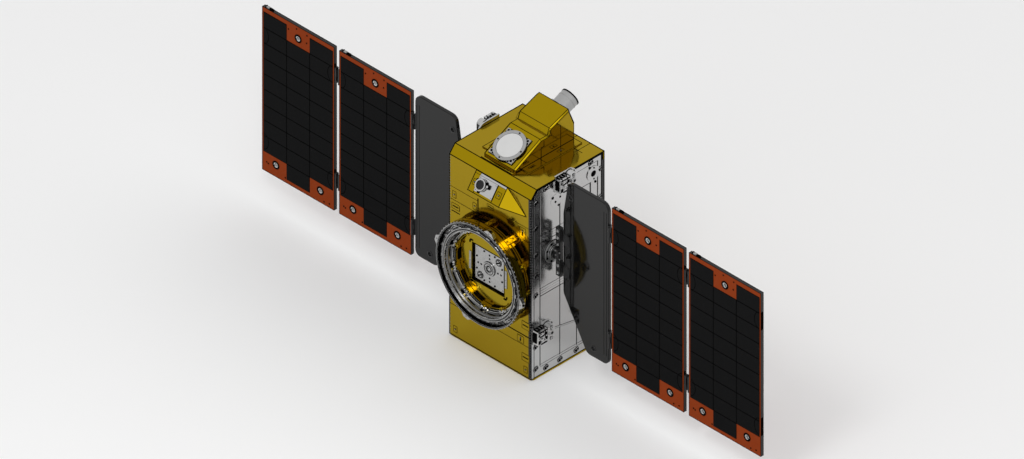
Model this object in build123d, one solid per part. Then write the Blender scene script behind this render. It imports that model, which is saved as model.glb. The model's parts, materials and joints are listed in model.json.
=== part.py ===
from build123d import *
import math
import os

os.makedirs("parts", exist_ok=True)

# Frame: x along the wings, y from front to back, z up, origin at the centre of the bottom face.
# All sizes are in millimetres. A depth is measured back from the front face of the bus.

# Bus box and its panels
BUS_W = 400.0
BUS_D = 358.0
BUS_H = 800.0
BASE_T = 6.0
BASE_LIP = 3.0
BASE_CORNER = 10.0
TOP_T = 8.0
FACE_T = 4.0
SIDE_T = 12.0
POST_W = 12.0
BEVEL_D = 27.0
BEVEL_H = 33.0
CORE_W = 300.0
CORE_D = 240.0
CORE_H = 560.0

# Side panel face: groove lines between its sheets, and a shallow pocket
GROOVE_W = 5.0
RIB_LINE_W = 1.6
GROOVE_D = 1.0
GROOVE_DEPTHS = (44.0, 141.0, 223.0, 326.0)
RIB_ZS = (44.0, 355.0, 579.0)
RIB_W = 10.0
BORDER_DROP = 25.0
POCKET_DEPTHS = (229.0, 292.0)
POCKET_ZS = (592.0, 699.0)
POCKET_D = 2.0

# Separation ring on the front face, heights measured out from that face
RING_DROP = 420.0
RING_R = 204.0
RING_H = 36.0
RING_LIP_T = 7.0
LEDGE_W = 32.0
LEDGE_T = 17.0
LEDGE_LIP_T = 2.5
LEDGE_LIP_H = 8.0
BAND_T = 2.0
BAND_H = 15.0
BOLT_EDGE = 4.5
BOLT_COUNT = 24
BOLT_HOLE_R = 3.4
LEAF_SET_IN = 5.0
LEAF_L = 13.0
LEAF_W = 17.0
LEAF_H = 12.0
LEAF_T = 4.0
LUG_ANGLES = (75.0, 164.0, 254.0, 354.0)
LUG_W = 62.0
LUG_TIP_W = 22.0
LUG_REACH = 14.0
LUG_H = 16.0
LUG_DROP = 1.0
FLANGE_LIP_T = 3.0

# Adapter drum that carries the ring
ADAPTER_SET_IN = 22.0
ADAPTER_W = 17.0
ADAPTER_H = 28.0
MOAT_W = 15.0
MOAT_H = 16.0
RIM_T = 8.0
RIM_H = 24.0
DISC_H = 10.0
CLAMP_COUNT = 12
CLAMP_W = 20.0
CLAMP_REACH = 13.0
CROSS_COUNT = 10
CROSS_L = 26.0
CROSS_REACH = 16.0
CROSS_ARM = 8.0
CROSS_H = 5.0

# Thruster plate inside the drum
PLATE_W = 140.0
PLATE_T = 4.0
PLATE_GAP = 6.0
NOZZLE_R = 27.0
NOZZLE_BORE_R = 16.5
NOZZLE_H = 5.0
EAR_R = 12.5
EAR_H = 3.0
EAR_PLACES = ((45.0, 47.0), (-45.0, -47.0))
PLATE_HOLE_R = 3.0
PLATE_HOLE_RINGS = (41.0, 56.0)

# Horizon sensor under the bevel: wedge, head with lens, blanket tent beside it
WEDGE_X0 = -68.0
WEDGE_X1 = 84.0
WEDGE_TOP_DROP = 35.0
WEDGE_NOSE_DROP = 97.0
WEDGE_REACH = 44.0
WEDGE_BACK_DROP = 110.0
HEAD_W = 85.0
HEAD_H = 58.0
HEAD_T = 4.0
HEAD_X = 2.5
LENS_X = -19.0
LENS_RING_R = 22.5
LENS_R = 16.5
LENS_RING_H = 9.0
LENS_DEPTH = 3.0
TENT_L = 92.0
TENT_TIP_DROP = 114.0

# Top housing with antenna and star tracker
HOUSING_W = 154.0
HOUSING_BEVEL = 6.0
HOUSING_FRONT = 43.0
HOUSING_FRONT_H = 12.0
SLOPE_END = 172.0
SLOPE_H = 78.0
SHELF_END = 207.0
STEP_RUN = 10.0
STEP_H = 103.5
CROWN_END = 310.0
CROWN_H = 138.0
TAIL_TILT = 22.0
TAIL_L = 76.0
SKIRT_W = 230.0
SKIRT_FRONT = 75.0
SKIRT_BACK = 336.0
SKIRT_T = 3.0
SILL_FRONT = 30.0
SILL_T = 5.0
ANTENNA_X = -5.0
ANTENNA_DOWN = 5.0
ANTENNA_SIZE = 112.0
ANTENNA_BASE_T = 5.0
ANTENNA_RING_R = 62.5
RADOME_R = 50.0
ANTENNA_RING_H = 5.0
RADOME_H = 4.0
BAFFLE_X = 12.0
BAFFLE_R = 36.0
BAFFLE_WALL = 3.0
BAFFLE_L = 62.0
BAFFLE_FLOOR = 14.0
TRACKER_LENS_R = 22.0
TRACKER_LENS_H = 8.0

# Side fittings: hold-down brackets (places along the side measured from the clamp bore), drive, port
HOLDDOWN_DROP = 20.0
HOLDDOWN_LOW_Z = 189.0
HOLDDOWN_SPREAD = 110.0
HOLDDOWN_H = 68.0
HOLDDOWN_FOOT_L = 70.0
HOLDDOWN_FOOT_END = 4.0
HOLDDOWN_FOOT_T = 6.0
HOLDDOWN_BLOCK_L = 44.0
HOLDDOWN_BLOCK_H = 56.0
HOLDDOWN_BLOCK_T = 26.0
HOLDDOWN_BLOCK_SHIFT = -43.0
HOLDDOWN_SLOT_W = 5.0
HOLDDOWN_SLOT_D = 9.0
HOLDDOWN_SLOTS = (-12.0, 12.0)
HOLDDOWN_HEAD_W = 34.0
HOLDDOWN_HEAD_T = 24.0
HOLDDOWN_CONE_R = 13.0
HOLDDOWN_CONE_H = 4.0
HOLDDOWN_BORE_R = 6.0
DRIVE_DEPTH = 110.0
DRIVE_Z = 500.0
DRIVE_FLANGE_R = 45.0
DRIVE_FLANGE_T = 4.0
DRIVE_HUB_R = 30.0
DRIVE_HUB_H = 12.0
PORT_BACK = 55.0
PORT_DROP = 67.0
PORT_R = 30.0
PORT_BORE_R = 12.0
PORT_T = 3.0

# Wing: front plane, drive shaft, root bracket, yoke, panels
WING_DEPTH = 104.0
SHAFT_R = 15.0
SHAFT_L = 15.5
SHAFT_END_GAP = 0.5
ROOT_T = 16.0
ROOT_W = 22.0
ROOT_BELOW = 91.0
ROOT_ABOVE = 114.0
ROOT_BOSS_R = 24.0
ROOT_BOSS_L = 5.0
YOKE_T = 16.0
YOKE_W = 223.0
YOKE_FOOT = 11.0
YOKE_RISE = 1.0
YOKE_TOP_IN = 23.0
YOKE_BOTTOM_IN = 116.0
YOKE_EDGE_BELOW = 147.0
YOKE_EDGE_ABOVE = 190.0
YOKE_CHAMFER = 2.5
YOKE_HOLE_R = 9.0
YOKE_TOP_HOLE = (37.0, 60.0)
YOKE_BOTTOM_HOLE = (149.0, 38.0)
PANEL_W = 352.0
PANEL_H = 692.0
PANEL_T = 12.7
PANEL_Z0 = 139.0
CELL_COLUMNS = 3
CELL_ROWS = 10
CELL_GAP = 2.0
CELL_T = 0.8
CELL_TOP = 20.0
CELL_BOTTOM = 16.0
CELL_SIDE = 6.0
CUP_R = 14.0
CUP_BORE_R = 6.0
CUP_PROUD = 1.0
CUP_TOP = 51.0
CUP_BOTTOM = 50.0
CUP_SIDE = 67.0

# Hinges: pin offset from the plate's face, and half of the gap at each hinge
HINGE_OFFSET = 5.0
ROOT_HALF_GAP = 7.0
YOKE_HALF_GAP = 9.0
PANEL_HALF_GAP = 13.0
KNUCKLE_R = 4.5
PIN_R = 1.5
HINGE_BLOCK_D = 12.0
HINGE_TAB_T = 2.0
ROOT_HINGE_H = 50.0
ROOT_HINGE_OFFSETS = (-57.0, 79.0)
PANEL_HINGE_H = 65.0
PANEL_HINGE_BOTTOM = 125.0
PANEL_HINGE_TOP = 118.0

# Clearances: running fit of pins and shafts, side play at knuckles, seat of pieces on one body
RUN = 0.05
PLAY = 0.3
SEAT = 0.15

# Places worked out from the sizes
FRONT = -BUS_D / 2
SIDE = BUS_W / 2
LIFT = BUS_H - TOP_T
BEVEL_SLOPE = BEVEL_H / BEVEL_D
RING_PLANE = Plane(origin=(0, FRONT, BUS_H - RING_DROP), x_dir=(1, 0, 0), z_dir=(0, -1, 0))
DRIVE_PLANE = Plane(origin=(SIDE, FRONT + DRIVE_DEPTH, DRIVE_Z), x_dir=(0, 1, 0), z_dir=(1, 0, 0))

nodes = {}


def block(x, y, z):
    """Box between two values on each axis."""
    sizes = [high - low for low, high in (x, y, z)]
    middles = [(low + high) / 2 for low, high in (x, y, z)]
    return Pos(*middles) * Box(*sizes)


def outline(points):
    """Flat face inside a closed run of straight edges."""
    return make_face(Polyline(*points, close=True))


def extrude_yz(points, x0, x1):
    """Outline of (y, z) points, drawn out along x."""
    return extrude(Plane.YZ.offset(x0) * outline(points), x1 - x0)


def extrude_xz(face, y0, y1):
    """Flat face in x and z, drawn out along y."""
    plane = Plane(origin=(0, y1, 0), x_dir=(1, 0, 0), z_dir=(0, -1, 0))
    return extrude(plane * face, y1 - y0)


def turned(points):
    """Profile of (radius, height) points, turned about the z axis."""
    return revolve(Plane.XZ * outline(points), Axis.Z)


def ring(outer, inner, z0, z1):
    """Flat ring about the z axis between two heights."""
    return turned([(inner, z0), (outer, z0), (outer, z1), (inner, z1)])


def disc(radius, z0, z1):
    """Round disc about the z axis between two heights."""
    return Pos(0, 0, (z0 + z1) / 2) * Cylinder(radius, z1 - z0)


def around(count, shape, start=0.0):
    """Copies of a shape, evenly spaced about the z axis."""
    return [Rot(0, 0, start + 360.0 * k / count) * shape for k in range(count)]


def group(shapes):
    """Separate solids that share one node."""
    return Compound(children=[solid for shape in shapes for solid in shape.solids()])


# Bus panels: the inner outline is what the front, top, rear and bottom panels close in
inner_front = FRONT + FACE_T
inner_back = -FRONT - FACE_T
bevel_y = FRONT + BEVEL_D
bevel_foot = LIFT - (bevel_y - inner_front) * BEVEL_SLOPE
inner_outline = [
    (inner_front, BASE_T),
    (inner_front, bevel_foot),
    (bevel_y, LIFT),
    (inner_back, LIFT),
    (inner_back, BASE_T),
]
front_outline = [
    (FRONT, BASE_T),
    (FRONT, BUS_H - BEVEL_H),
    (bevel_y, BUS_H),
    (bevel_y, LIFT),
    (inner_front, bevel_foot),
    (inner_front, BASE_T),
]
base_x = (-SIDE - BASE_LIP, SIDE + BASE_LIP)
base = block(base_x, (FRONT, -FRONT), (0, BASE_T))
nodes["bottom_panel"] = chamfer(base.edges().filter_by(Axis.Z), BASE_CORNER)
nodes["top_panel"] = block((-SIDE, SIDE), (bevel_y, -FRONT), (LIFT, BUS_H))
nodes["front_panel"] = extrude_yz(front_outline, -SIDE, SIDE)
nodes["rear_panel"] = block((-SIDE, SIDE), (inner_back, -FRONT), (BASE_T, LIFT))

# Silver side panels, with dark posts at their front and rear edges
side_wall = extrude_yz(inner_outline, SIDE - SIDE_T, SIDE)
panel_zone = block((0, BUS_W), (inner_front + POST_W, inner_back - POST_W), (0, BUS_H))
side_panel = side_wall & panel_zone
groove_x = (SIDE - GROOVE_D, SIDE)
for depth in GROOVE_DEPTHS:
    groove_y = (FRONT + depth - GROOVE_W / 2, FRONT + depth + GROOVE_W / 2)
    side_panel -= block(groove_x, groove_y, (RIB_ZS[0], BUS_H - BORDER_DROP))
rib_lines = [z + half for z in RIB_ZS for half in (-RIB_W / 2, RIB_W / 2)]
for z in (*rib_lines, BUS_H - BORDER_DROP):
    groove_y = (FRONT + GROOVE_DEPTHS[0], FRONT + GROOVE_DEPTHS[-1])
    side_panel -= block(groove_x, groove_y, (z - RIB_LINE_W / 2, z + RIB_LINE_W / 2))
pocket_y = [FRONT + depth for depth in POCKET_DEPTHS]
side_panel -= block((SIDE - POCKET_D, SIDE), pocket_y, POCKET_ZS)
posts = side_wall - panel_zone
nodes["side_panel_right"] = side_panel
nodes["side_panel_left"] = mirror(side_panel, about=Plane.YZ)
nodes["corner_posts"] = group([posts, mirror(posts, about=Plane.YZ)])

# Closed equipment: one plain block on the bottom panel
core_x = (-CORE_W / 2, CORE_W / 2)
core_y = (-CORE_D / 2, CORE_D / 2)
nodes["equipment_block"] = block(core_x, core_y, (BASE_T, BASE_T + CORE_H))


# Ring and drum radii, from the ring's outside inwards
lip_r = RING_R - RING_LIP_T
band_r = lip_r - BAND_T
bolt_r = band_r - BOLT_EDGE
ledge_r = lip_r - LEDGE_W
adapter_r = RING_R - ADAPTER_SET_IN
adapter_in_r = adapter_r - ADAPTER_W
rim_r = adapter_in_r - MOAT_W
rim_in_r = rim_r - RIM_T


# Adapter drum: stepped disc with clamp posts outside and cross brackets on its inner rim
def cross_bracket():
    """Cross-shaped bracket that sits on the rim."""
    z = (RIM_H, RIM_H + CROSS_H)
    middle = rim_r - RIM_T / 2
    arm = CROSS_ARM / 2
    radial = block((middle - CROSS_REACH / 2, middle + CROSS_REACH / 2), (-arm, arm), z)
    along = block((middle - arm, middle + arm), (-CROSS_L / 2, CROSS_L / 2), z)
    return radial + along


drum = turned([
    (0, 0),
    (adapter_r, 0),
    (adapter_r, ADAPTER_H),
    (adapter_in_r, ADAPTER_H),
    (adapter_in_r, MOAT_H),
    (rim_r, MOAT_H),
    (rim_r, RIM_H),
    (rim_in_r, RIM_H),
    (rim_in_r, DISC_H),
    (0, DISC_H),
])
recess = PLATE_W + 2 * PLATE_GAP
drum -= Pos(0, 0, DISC_H / 2) * Box(recess, recess, DISC_H)
clamp_x = (adapter_r - ADAPTER_W / 2, adapter_r + CLAMP_REACH)
drum += around(CLAMP_COUNT, block(clamp_x, (-CLAMP_W / 2, CLAMP_W / 2), (0, ADAPTER_H)))
drum += around(CROSS_COUNT, cross_bracket(), start=180.0 / CROSS_COUNT)
nodes["adapter_drum"] = RING_PLANE * drum

# Separation ring: outer wall with lip, inner ledge with the bolt circle and a low inner lip
ring_top = ADAPTER_H + RING_H
ledge_top = ADAPTER_H + LEDGE_T
sep_ring = turned([
    (ledge_r, ADAPTER_H),
    (RING_R, ADAPTER_H),
    (RING_R, ring_top),
    (lip_r, ring_top),
    (lip_r, ledge_top),
    (ledge_r + LEDGE_LIP_T, ledge_top),
    (ledge_r + LEDGE_LIP_T, ledge_top + LEDGE_LIP_H),
    (ledge_r, ledge_top + LEDGE_LIP_H),
])
bolt_hole = Pos(bolt_r, 0, 0) * disc(BOLT_HOLE_R, ADAPTER_H, ring_top)
sep_ring -= around(BOLT_COUNT, bolt_hole, start=180.0 / BOLT_COUNT)
nodes["separation_ring"] = RING_PLANE * sep_ring
nodes["ring_band"] = RING_PLANE * ring(lip_r, band_r, ledge_top, ledge_top + BAND_H)


# Release leaves: one hooked leaf between each two bolts, seated on the ledge
def release_leaf():
    """Hooked leaf: flat foot with an upright at its outer end."""
    inner = ledge_r + LEAF_SET_IN
    outer = inner + LEAF_L
    foot = block((inner, outer), (-LEAF_W / 2, LEAF_W / 2), (ledge_top, ledge_top + LEAF_T))
    upright_x = (outer - LEAF_T, outer)
    return foot + block(upright_x, (-LEAF_W / 2, LEAF_W / 2), (ledge_top, ledge_top + LEAF_H))


nodes["ring_leaves"] = RING_PLANE * group(around(BOLT_COUNT, release_leaf()))

# Lower flange: the ring's second half, set in the moat below the ledge, with a lip at its outside
flange_in = rim_r + SEAT
flange_out = adapter_in_r - SEAT
nodes["ring_flange"] = RING_PLANE * turned([
    (flange_in, MOAT_H),
    (flange_out, MOAT_H),
    (flange_out, ADAPTER_H - SEAT),
    (flange_out - FLANGE_LIP_T, ADAPTER_H - SEAT),
    (flange_out - FLANGE_LIP_T, RIM_H - SEAT),
    (flange_in, RIM_H - SEAT),
])

# Outer lugs: flat tapered ears, hollowed to the ring's outside
lug_outline = [
    (RING_R - RING_LIP_T, -LUG_W / 2),
    (RING_R + LUG_REACH, -LUG_TIP_W / 2),
    (RING_R + LUG_REACH, LUG_TIP_W / 2),
    (RING_R - RING_LIP_T, LUG_W / 2),
]
lug = Pos(0, 0, ring_top - LUG_DROP - LUG_H) * extrude(outline(lug_outline), LUG_H)
lug -= disc(RING_R + SEAT, 0, ring_top)
nodes["ring_lugs"] = RING_PLANE * group([Rot(0, 0, angle) * lug for angle in LUG_ANGLES])

# Thruster plate: nozzle ring, ears and paired holes in four directions
plate = Pos(0, 0, PLATE_T / 2) * Box(PLATE_W, PLATE_W, PLATE_T)
plate += ring(NOZZLE_R, NOZZLE_BORE_R, PLATE_T, PLATE_T + NOZZLE_H)
plate += [Pos(x, y, 0) * disc(EAR_R, PLATE_T, PLATE_T + EAR_H) for x, y in EAR_PLACES]
for radius in PLATE_HOLE_RINGS:
    plate -= around(4, Pos(radius, 0, 0) * disc(PLATE_HOLE_R, 0, PLATE_T))
nodes["thruster_plate"] = RING_PLANE * plate

# Sensor wedge: flat prism whose face looks forward and up
wedge_outline = [
    (FRONT, BUS_H - WEDGE_TOP_DROP),
    (FRONT - WEDGE_REACH, BUS_H - WEDGE_NOSE_DROP),
    (FRONT, BUS_H - WEDGE_BACK_DROP),
]
nodes["sensor_wedge"] = extrude_yz(wedge_outline, WEDGE_X0, WEDGE_X1)
wedge_rise = WEDGE_NOSE_DROP - WEDGE_TOP_DROP
wedge_face = Plane(
    origin=(0, FRONT - WEDGE_REACH / 2, BUS_H - WEDGE_TOP_DROP - wedge_rise / 2),
    x_dir=(1, 0, 0),
    z_dir=(0, -wedge_rise, WEDGE_REACH),
)

# Sensor head: plate with a lens ring, and the lens set back in the ring
head = Pos(HEAD_X, 0, HEAD_T / 2) * Box(HEAD_W, HEAD_H, HEAD_T)
head += Pos(LENS_X, 0, 0) * ring(LENS_RING_R, LENS_R, HEAD_T, HEAD_T + LENS_RING_H)
nodes["sensor_head"] = wedge_face * head
lens = disc(LENS_R - SEAT, HEAD_T, HEAD_T + LENS_RING_H - LENS_DEPTH)
nodes["sensor_lens"] = wedge_face * Pos(LENS_X, 0, 0) * lens


# Blanket tent: four flat sides from the wedge's end to a tip on the front panel
def tetrahedron(a, b, c, d):
    """Solid between four corners."""
    corners = ((a, b, c), (a, b, d), (b, c, d), (c, a, d))
    return Solid(Shell([Face(Wire.make_polygon(points, close=True)) for points in corners]))


tent_end = [(WEDGE_X1, y, z) for y, z in wedge_outline]
nodes["sensor_tent"] = tetrahedron(*tent_end, (WEDGE_X1 + TENT_L, FRONT, BUS_H - TENT_TIP_DROP))

# Top housing: side outline drawn across, with both upper side edges bevelled
tail_run = TAIL_L * math.sin(math.radians(TAIL_TILT))
tail_drop = TAIL_L * math.cos(math.radians(TAIL_TILT))
tail_foot = CROWN_END + tail_run
housing_outline = [
    (HOUSING_FRONT, -2 * HOUSING_BEVEL),
    (HOUSING_FRONT, HOUSING_FRONT_H),
    (SLOPE_END, SLOPE_H),
    (SHELF_END, SLOPE_H),
    (SHELF_END + STEP_RUN, STEP_H),
    (CROWN_END, CROWN_H),
    (tail_foot, CROWN_H - tail_drop),
    (tail_foot, -2 * HOUSING_BEVEL),
]
housing_face = outline([(FRONT + depth, BUS_H + rise) for depth, rise in housing_outline])
straight = HOUSING_W / 2 - HOUSING_BEVEL
half_body = extrude(Plane.YZ * housing_face, straight)
half_body += extrude(Plane.YZ.offset(straight) * housing_face, HOUSING_BEVEL, taper=45)
housing = half_body + mirror(half_body, about=Plane.YZ)
housing -= block((-BUS_W, BUS_W), (-BUS_D, BUS_D), (0, BUS_H))
nodes["top_housing"] = housing

# Skirt: thin blanket borders on the top panel beside the housing, and a sill in front of it
skirt = block(
    (-SKIRT_W / 2, SKIRT_W / 2),
    (FRONT + SKIRT_FRONT, FRONT + SKIRT_BACK),
    (BUS_H, BUS_H + SKIRT_T),
)
housing_foot = block(
    (-HOUSING_W / 2 - SEAT, HOUSING_W / 2 + SEAT),
    (FRONT, FRONT + tail_foot + SEAT),
    (BUS_H, BUS_H + SKIRT_T),
)
sill = block(
    (-HOUSING_W / 2, HOUSING_W / 2),
    (FRONT + SILL_FRONT, FRONT + HOUSING_FRONT - SEAT),
    (BUS_H, BUS_H + SILL_T),
)
nodes["housing_skirt"] = group([skirt - housing_foot, sill])

# Antenna on the slanted front of the housing
slope_run = SLOPE_END - HOUSING_FRONT
slope_rise = SLOPE_H - HOUSING_FRONT_H
antenna_plane = Plane(
    origin=(ANTENNA_X, FRONT + HOUSING_FRONT + slope_run / 2, BUS_H + HOUSING_FRONT_H + slope_rise / 2),
    x_dir=(1, 0, 0),
    z_dir=(0, -slope_rise, slope_run),
)
antenna_plane *= Pos(0, -ANTENNA_DOWN, 0)
antenna_base = Pos(0, 0, ANTENNA_BASE_T / 2) * Box(ANTENNA_SIZE, ANTENNA_SIZE, ANTENNA_BASE_T)
ring_z = (ANTENNA_BASE_T, ANTENNA_BASE_T + ANTENNA_RING_H)
radome = disc(RADOME_R, ANTENNA_BASE_T, ANTENNA_BASE_T + RADOME_H)
nodes["antenna_base"] = antenna_plane * antenna_base
nodes["antenna_ring"] = antenna_plane * ring(ANTENNA_RING_R, RADOME_R + SEAT, *ring_z)
nodes["antenna_radome"] = antenna_plane * radome

# Star tracker on the slanted rear of the housing: open baffle tube with a lens on its floor
tail_plane = Plane(
    origin=(BAFFLE_X, FRONT + CROWN_END + tail_run / 2, BUS_H + CROWN_H - tail_drop / 2),
    x_dir=(1, 0, 0),
    z_dir=(0, tail_drop, tail_run),
)
baffle = turned([
    (0, 0),
    (BAFFLE_R, 0),
    (BAFFLE_R, BAFFLE_L),
    (BAFFLE_R - BAFFLE_WALL, BAFFLE_L),
    (BAFFLE_R - BAFFLE_WALL, BAFFLE_FLOOR),
    (0, BAFFLE_FLOOR),
])
nodes["star_tracker_baffle"] = tail_plane * baffle
nodes["star_tracker_lens"] = tail_plane * disc(TRACKER_LENS_R, BAFFLE_FLOOR, BAFFLE_FLOOR + TRACKER_LENS_H)


# Side fittings
def side_plane(depth, z):
    """Plane on the right side of the bus, looking out along x."""
    return Plane(origin=(SIDE, FRONT + depth, z), x_dir=(0, 1, 0), z_dir=(1, 0, 0))


def holddown_bracket():
    """Round-ended foot, slotted block, and an oblong head with a bored cone for the folded panels."""
    half_h = HOLDDOWN_H / 2
    foot_x1 = HOLDDOWN_FOOT_END
    foot_t = HOLDDOWN_FOOT_T
    block_top = foot_t + HOLDDOWN_BLOCK_T
    head_top = foot_t + HOLDDOWN_HEAD_T
    shape = block((foot_x1 - HOLDDOWN_FOOT_L, foot_x1), (-half_h, half_h), (0, foot_t))
    shape += Pos(foot_x1, 0, 0) * disc(half_h, 0, foot_t)
    slotted = Box(HOLDDOWN_BLOCK_L, HOLDDOWN_BLOCK_H, HOLDDOWN_BLOCK_T)
    for slot in HOLDDOWN_SLOTS:
        cut = Box(HOLDDOWN_SLOT_W, HOLDDOWN_BLOCK_H, HOLDDOWN_SLOT_D)
        slotted -= Pos(slot, 0, (HOLDDOWN_BLOCK_T - HOLDDOWN_SLOT_D) / 2) * cut
    shape += Pos(HOLDDOWN_BLOCK_SHIFT, 0, (foot_t + block_top) / 2) * slotted
    shape += Pos(0, 0, foot_t) * extrude(SlotOverall(HOLDDOWN_H, HOLDDOWN_HEAD_W, 90), HOLDDOWN_HEAD_T)
    shape += disc(HOLDDOWN_CONE_R, head_top, head_top + HOLDDOWN_CONE_H)
    return shape - disc(HOLDDOWN_BORE_R, foot_t, head_top + HOLDDOWN_CONE_H)


# columns: depth, height
holddown_places = (
    (BUS_D / 2, BUS_H - HOLDDOWN_DROP),
    (BUS_D / 2 - HOLDDOWN_SPREAD, HOLDDOWN_LOW_Z),
    (BUS_D / 2 + HOLDDOWN_SPREAD, HOLDDOWN_LOW_Z),
)
holddowns = group([side_plane(*place) * holddown_bracket() for place in holddown_places])
nodes["holddowns_right"] = holddowns
nodes["holddowns_left"] = Rot(0, 0, 180) * holddowns
drive_bore = SHAFT_R + RUN
drive_housing = DRIVE_PLANE * turned([
    (drive_bore, 0),
    (DRIVE_FLANGE_R, 0),
    (DRIVE_FLANGE_R, DRIVE_FLANGE_T),
    (DRIVE_HUB_R, DRIVE_FLANGE_T),
    (DRIVE_HUB_R, DRIVE_HUB_H),
    (drive_bore, DRIVE_HUB_H),
])
nodes["drive_housing_right"] = drive_housing
nodes["drive_housing_left"] = mirror(drive_housing, about=Plane.YZ)
port_ring = ring(PORT_R, PORT_BORE_R, 0, PORT_T)
nodes["side_port"] = side_plane(BUS_D - PORT_BACK, BUS_H - PORT_DROP) * port_ring


# Hinge halves about an upright pin at the origin, on plates whose face lies at +y from the pin
def hinge_fixed(height, half_gap):
    """Half on the -x side: edge block, outer knuckles and the pin."""
    third = height / 6
    clear = KNUCKLE_R + PLAY
    tab_y = (HINGE_OFFSET - HINGE_TAB_T, HINGE_OFFSET)
    block_y = (HINGE_OFFSET - HINGE_TAB_T, HINGE_OFFSET + HINGE_BLOCK_D)
    shape = block((-half_gap, -clear), block_y, (-height / 2, height / 2))
    for z in ((-height / 2, -third), (third, height / 2)):
        shape += block((-clear, 0), tab_y, z)
        shape += disc(KNUCKLE_R, *z)
    return shape + disc(PIN_R, -height / 2, height / 2)


def hinge_moving(height, half_gap):
    """Half on the +x side: edge block and the middle knuckle, bored for the pin."""
    third = height / 6 - PLAY
    clear = KNUCKLE_R + PLAY
    tab_y = (HINGE_OFFSET - HINGE_TAB_T, HINGE_OFFSET)
    block_y = (HINGE_OFFSET - HINGE_TAB_T, HINGE_OFFSET + HINGE_BLOCK_D)
    shape = block((clear, half_gap), block_y, (-height / 2, height / 2))
    shape += block((0, clear), tab_y, (-third, third))
    shape += disc(KNUCKLE_R, -third, third)
    return shape - disc(PIN_R + RUN, -third, third)


def hinge_set(half, height, half_gap, x, y, heights, behind):
    """Hinge halves at several heights on one pin line, in front of or behind the plates."""
    shape = half(height, half_gap)
    if behind:
        shape = mirror(shape, about=Plane.XZ)
    return [Pos(x, y, z) * shape for z in heights]


# Wing places along x, and the depths of its pins
root_x0 = SIDE + SHAFT_END_GAP + SHAFT_L
root_x1 = root_x0 + ROOT_W
root_pin_x = root_x1 + ROOT_HALF_GAP
yoke_x0 = root_pin_x + ROOT_HALF_GAP
yoke_x1 = yoke_x0 + YOKE_W
inner_pin_x = yoke_x1 + YOKE_HALF_GAP
inner_x0 = inner_pin_x + YOKE_HALF_GAP
outer_pin_x = inner_x0 + PANEL_W + PANEL_HALF_GAP
outer_x0 = outer_pin_x + PANEL_HALF_GAP
wing_y = FRONT + WING_DEPTH
root_pin_y = wing_y + YOKE_T + HINGE_OFFSET
inner_pin_y = wing_y - HINGE_OFFSET
outer_pin_y = wing_y + PANEL_T + HINGE_OFFSET
panel_z1 = PANEL_Z0 + PANEL_H
root_hinge_zs = [DRIVE_Z + offset for offset in ROOT_HINGE_OFFSETS]
panel_hinge_zs = [PANEL_Z0 + PANEL_HINGE_BOTTOM, panel_z1 - PANEL_HINGE_TOP]


def yoke_plate():
    """Flat yoke with rounded corners, bevelled edges and two hold-down holes."""
    low = PANEL_Z0 + YOKE_FOOT
    high = panel_z1 + YOKE_RISE
    # columns: x from the inner edge, z, corner radius
    corners = (
        (YOKE_W, low, 25.0),
        (YOKE_W, high, 32.0),
        (YOKE_TOP_IN, high, 30.0),
        (0.0, DRIVE_Z + YOKE_EDGE_ABOVE, 60.0),
        (0.0, DRIVE_Z - YOKE_EDGE_BELOW, 40.0),
        (YOKE_BOTTOM_IN, low, 30.0),
    )
    face = outline([(yoke_x0 + x, z) for x, z, radius in corners])
    for x, z, radius in corners:
        corner = face.vertices().sort_by_distance((yoke_x0 + x, z))[0]
        face = fillet(corner, radius)
    plate = extrude_xz(face, wing_y, wing_y + YOKE_T)
    rims = plate.faces().sort_by(Axis.Y)
    plate = chamfer(rims[0].edges() + rims[-1].edges(), YOKE_CHAMFER)
    top_x, top_drop = YOKE_TOP_HOLE
    bottom_x, bottom_rise = YOKE_BOTTOM_HOLE
    for x, z in ((top_x, high - top_drop), (bottom_x, low + bottom_rise)):
        plate -= along_y(yoke_x0 + x, z) * disc(YOKE_HOLE_R, 0, YOKE_T)
    return plate


def cup_places(x0):
    """Centres (x, z) of a panel's three hold-down cups."""
    low = PANEL_Z0 + CUP_BOTTOM
    high = panel_z1 - CUP_TOP
    return ((x0 + PANEL_W / 2, high), (x0 + CUP_SIDE, low), (x0 + PANEL_W - CUP_SIDE, low))


def along_y(x, z):
    """Plane at the wing's front face, looking back along y."""
    return Plane(origin=(x, wing_y, z), x_dir=(1, 0, 0), z_dir=(0, 1, 0))


def substrate(x0):
    """Panel board with bores for the hold-down cups."""
    board = block((x0, x0 + PANEL_W), (wing_y, wing_y + PANEL_T), (PANEL_Z0, panel_z1))
    return board - [along_y(x, z) * disc(CUP_R + SEAT, 0, PANEL_T) for x, z in cup_places(x0)]


def cups(x0):
    """Hold-down cups: short bushes, a little proud of both faces."""
    bush = ring(CUP_R, CUP_BORE_R, -CUP_PROUD, PANEL_T + CUP_PROUD)
    return group([along_y(x, z) * bush for x, z in cup_places(x0)])


def cells(x0):
    """Solar cells in columns and rows, left out where the hold-down cups are."""
    pitch_x = (PANEL_W - 2 * CELL_SIDE) / CELL_COLUMNS
    pitch_z = (PANEL_H - CELL_TOP - CELL_BOTTOM) / CELL_ROWS
    cell_w = pitch_x - CELL_GAP
    cell_h = pitch_z - CELL_GAP
    left = x0 + CELL_SIDE
    top = panel_z1 - CELL_TOP
    shapes = []
    for column in range(CELL_COLUMNS):
        middle = column == CELL_COLUMNS // 2
        skipped = 0 if middle else CELL_ROWS - 1
        for row in range(CELL_ROWS):
            if row != skipped:
                x = left + column * pitch_x + CELL_GAP / 2
                z = top - row * pitch_z - CELL_GAP / 2
                shapes.append(block((x, x + cell_w), (wing_y - CELL_T, wing_y), (z - cell_h, z)))
    return group(shapes)


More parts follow.
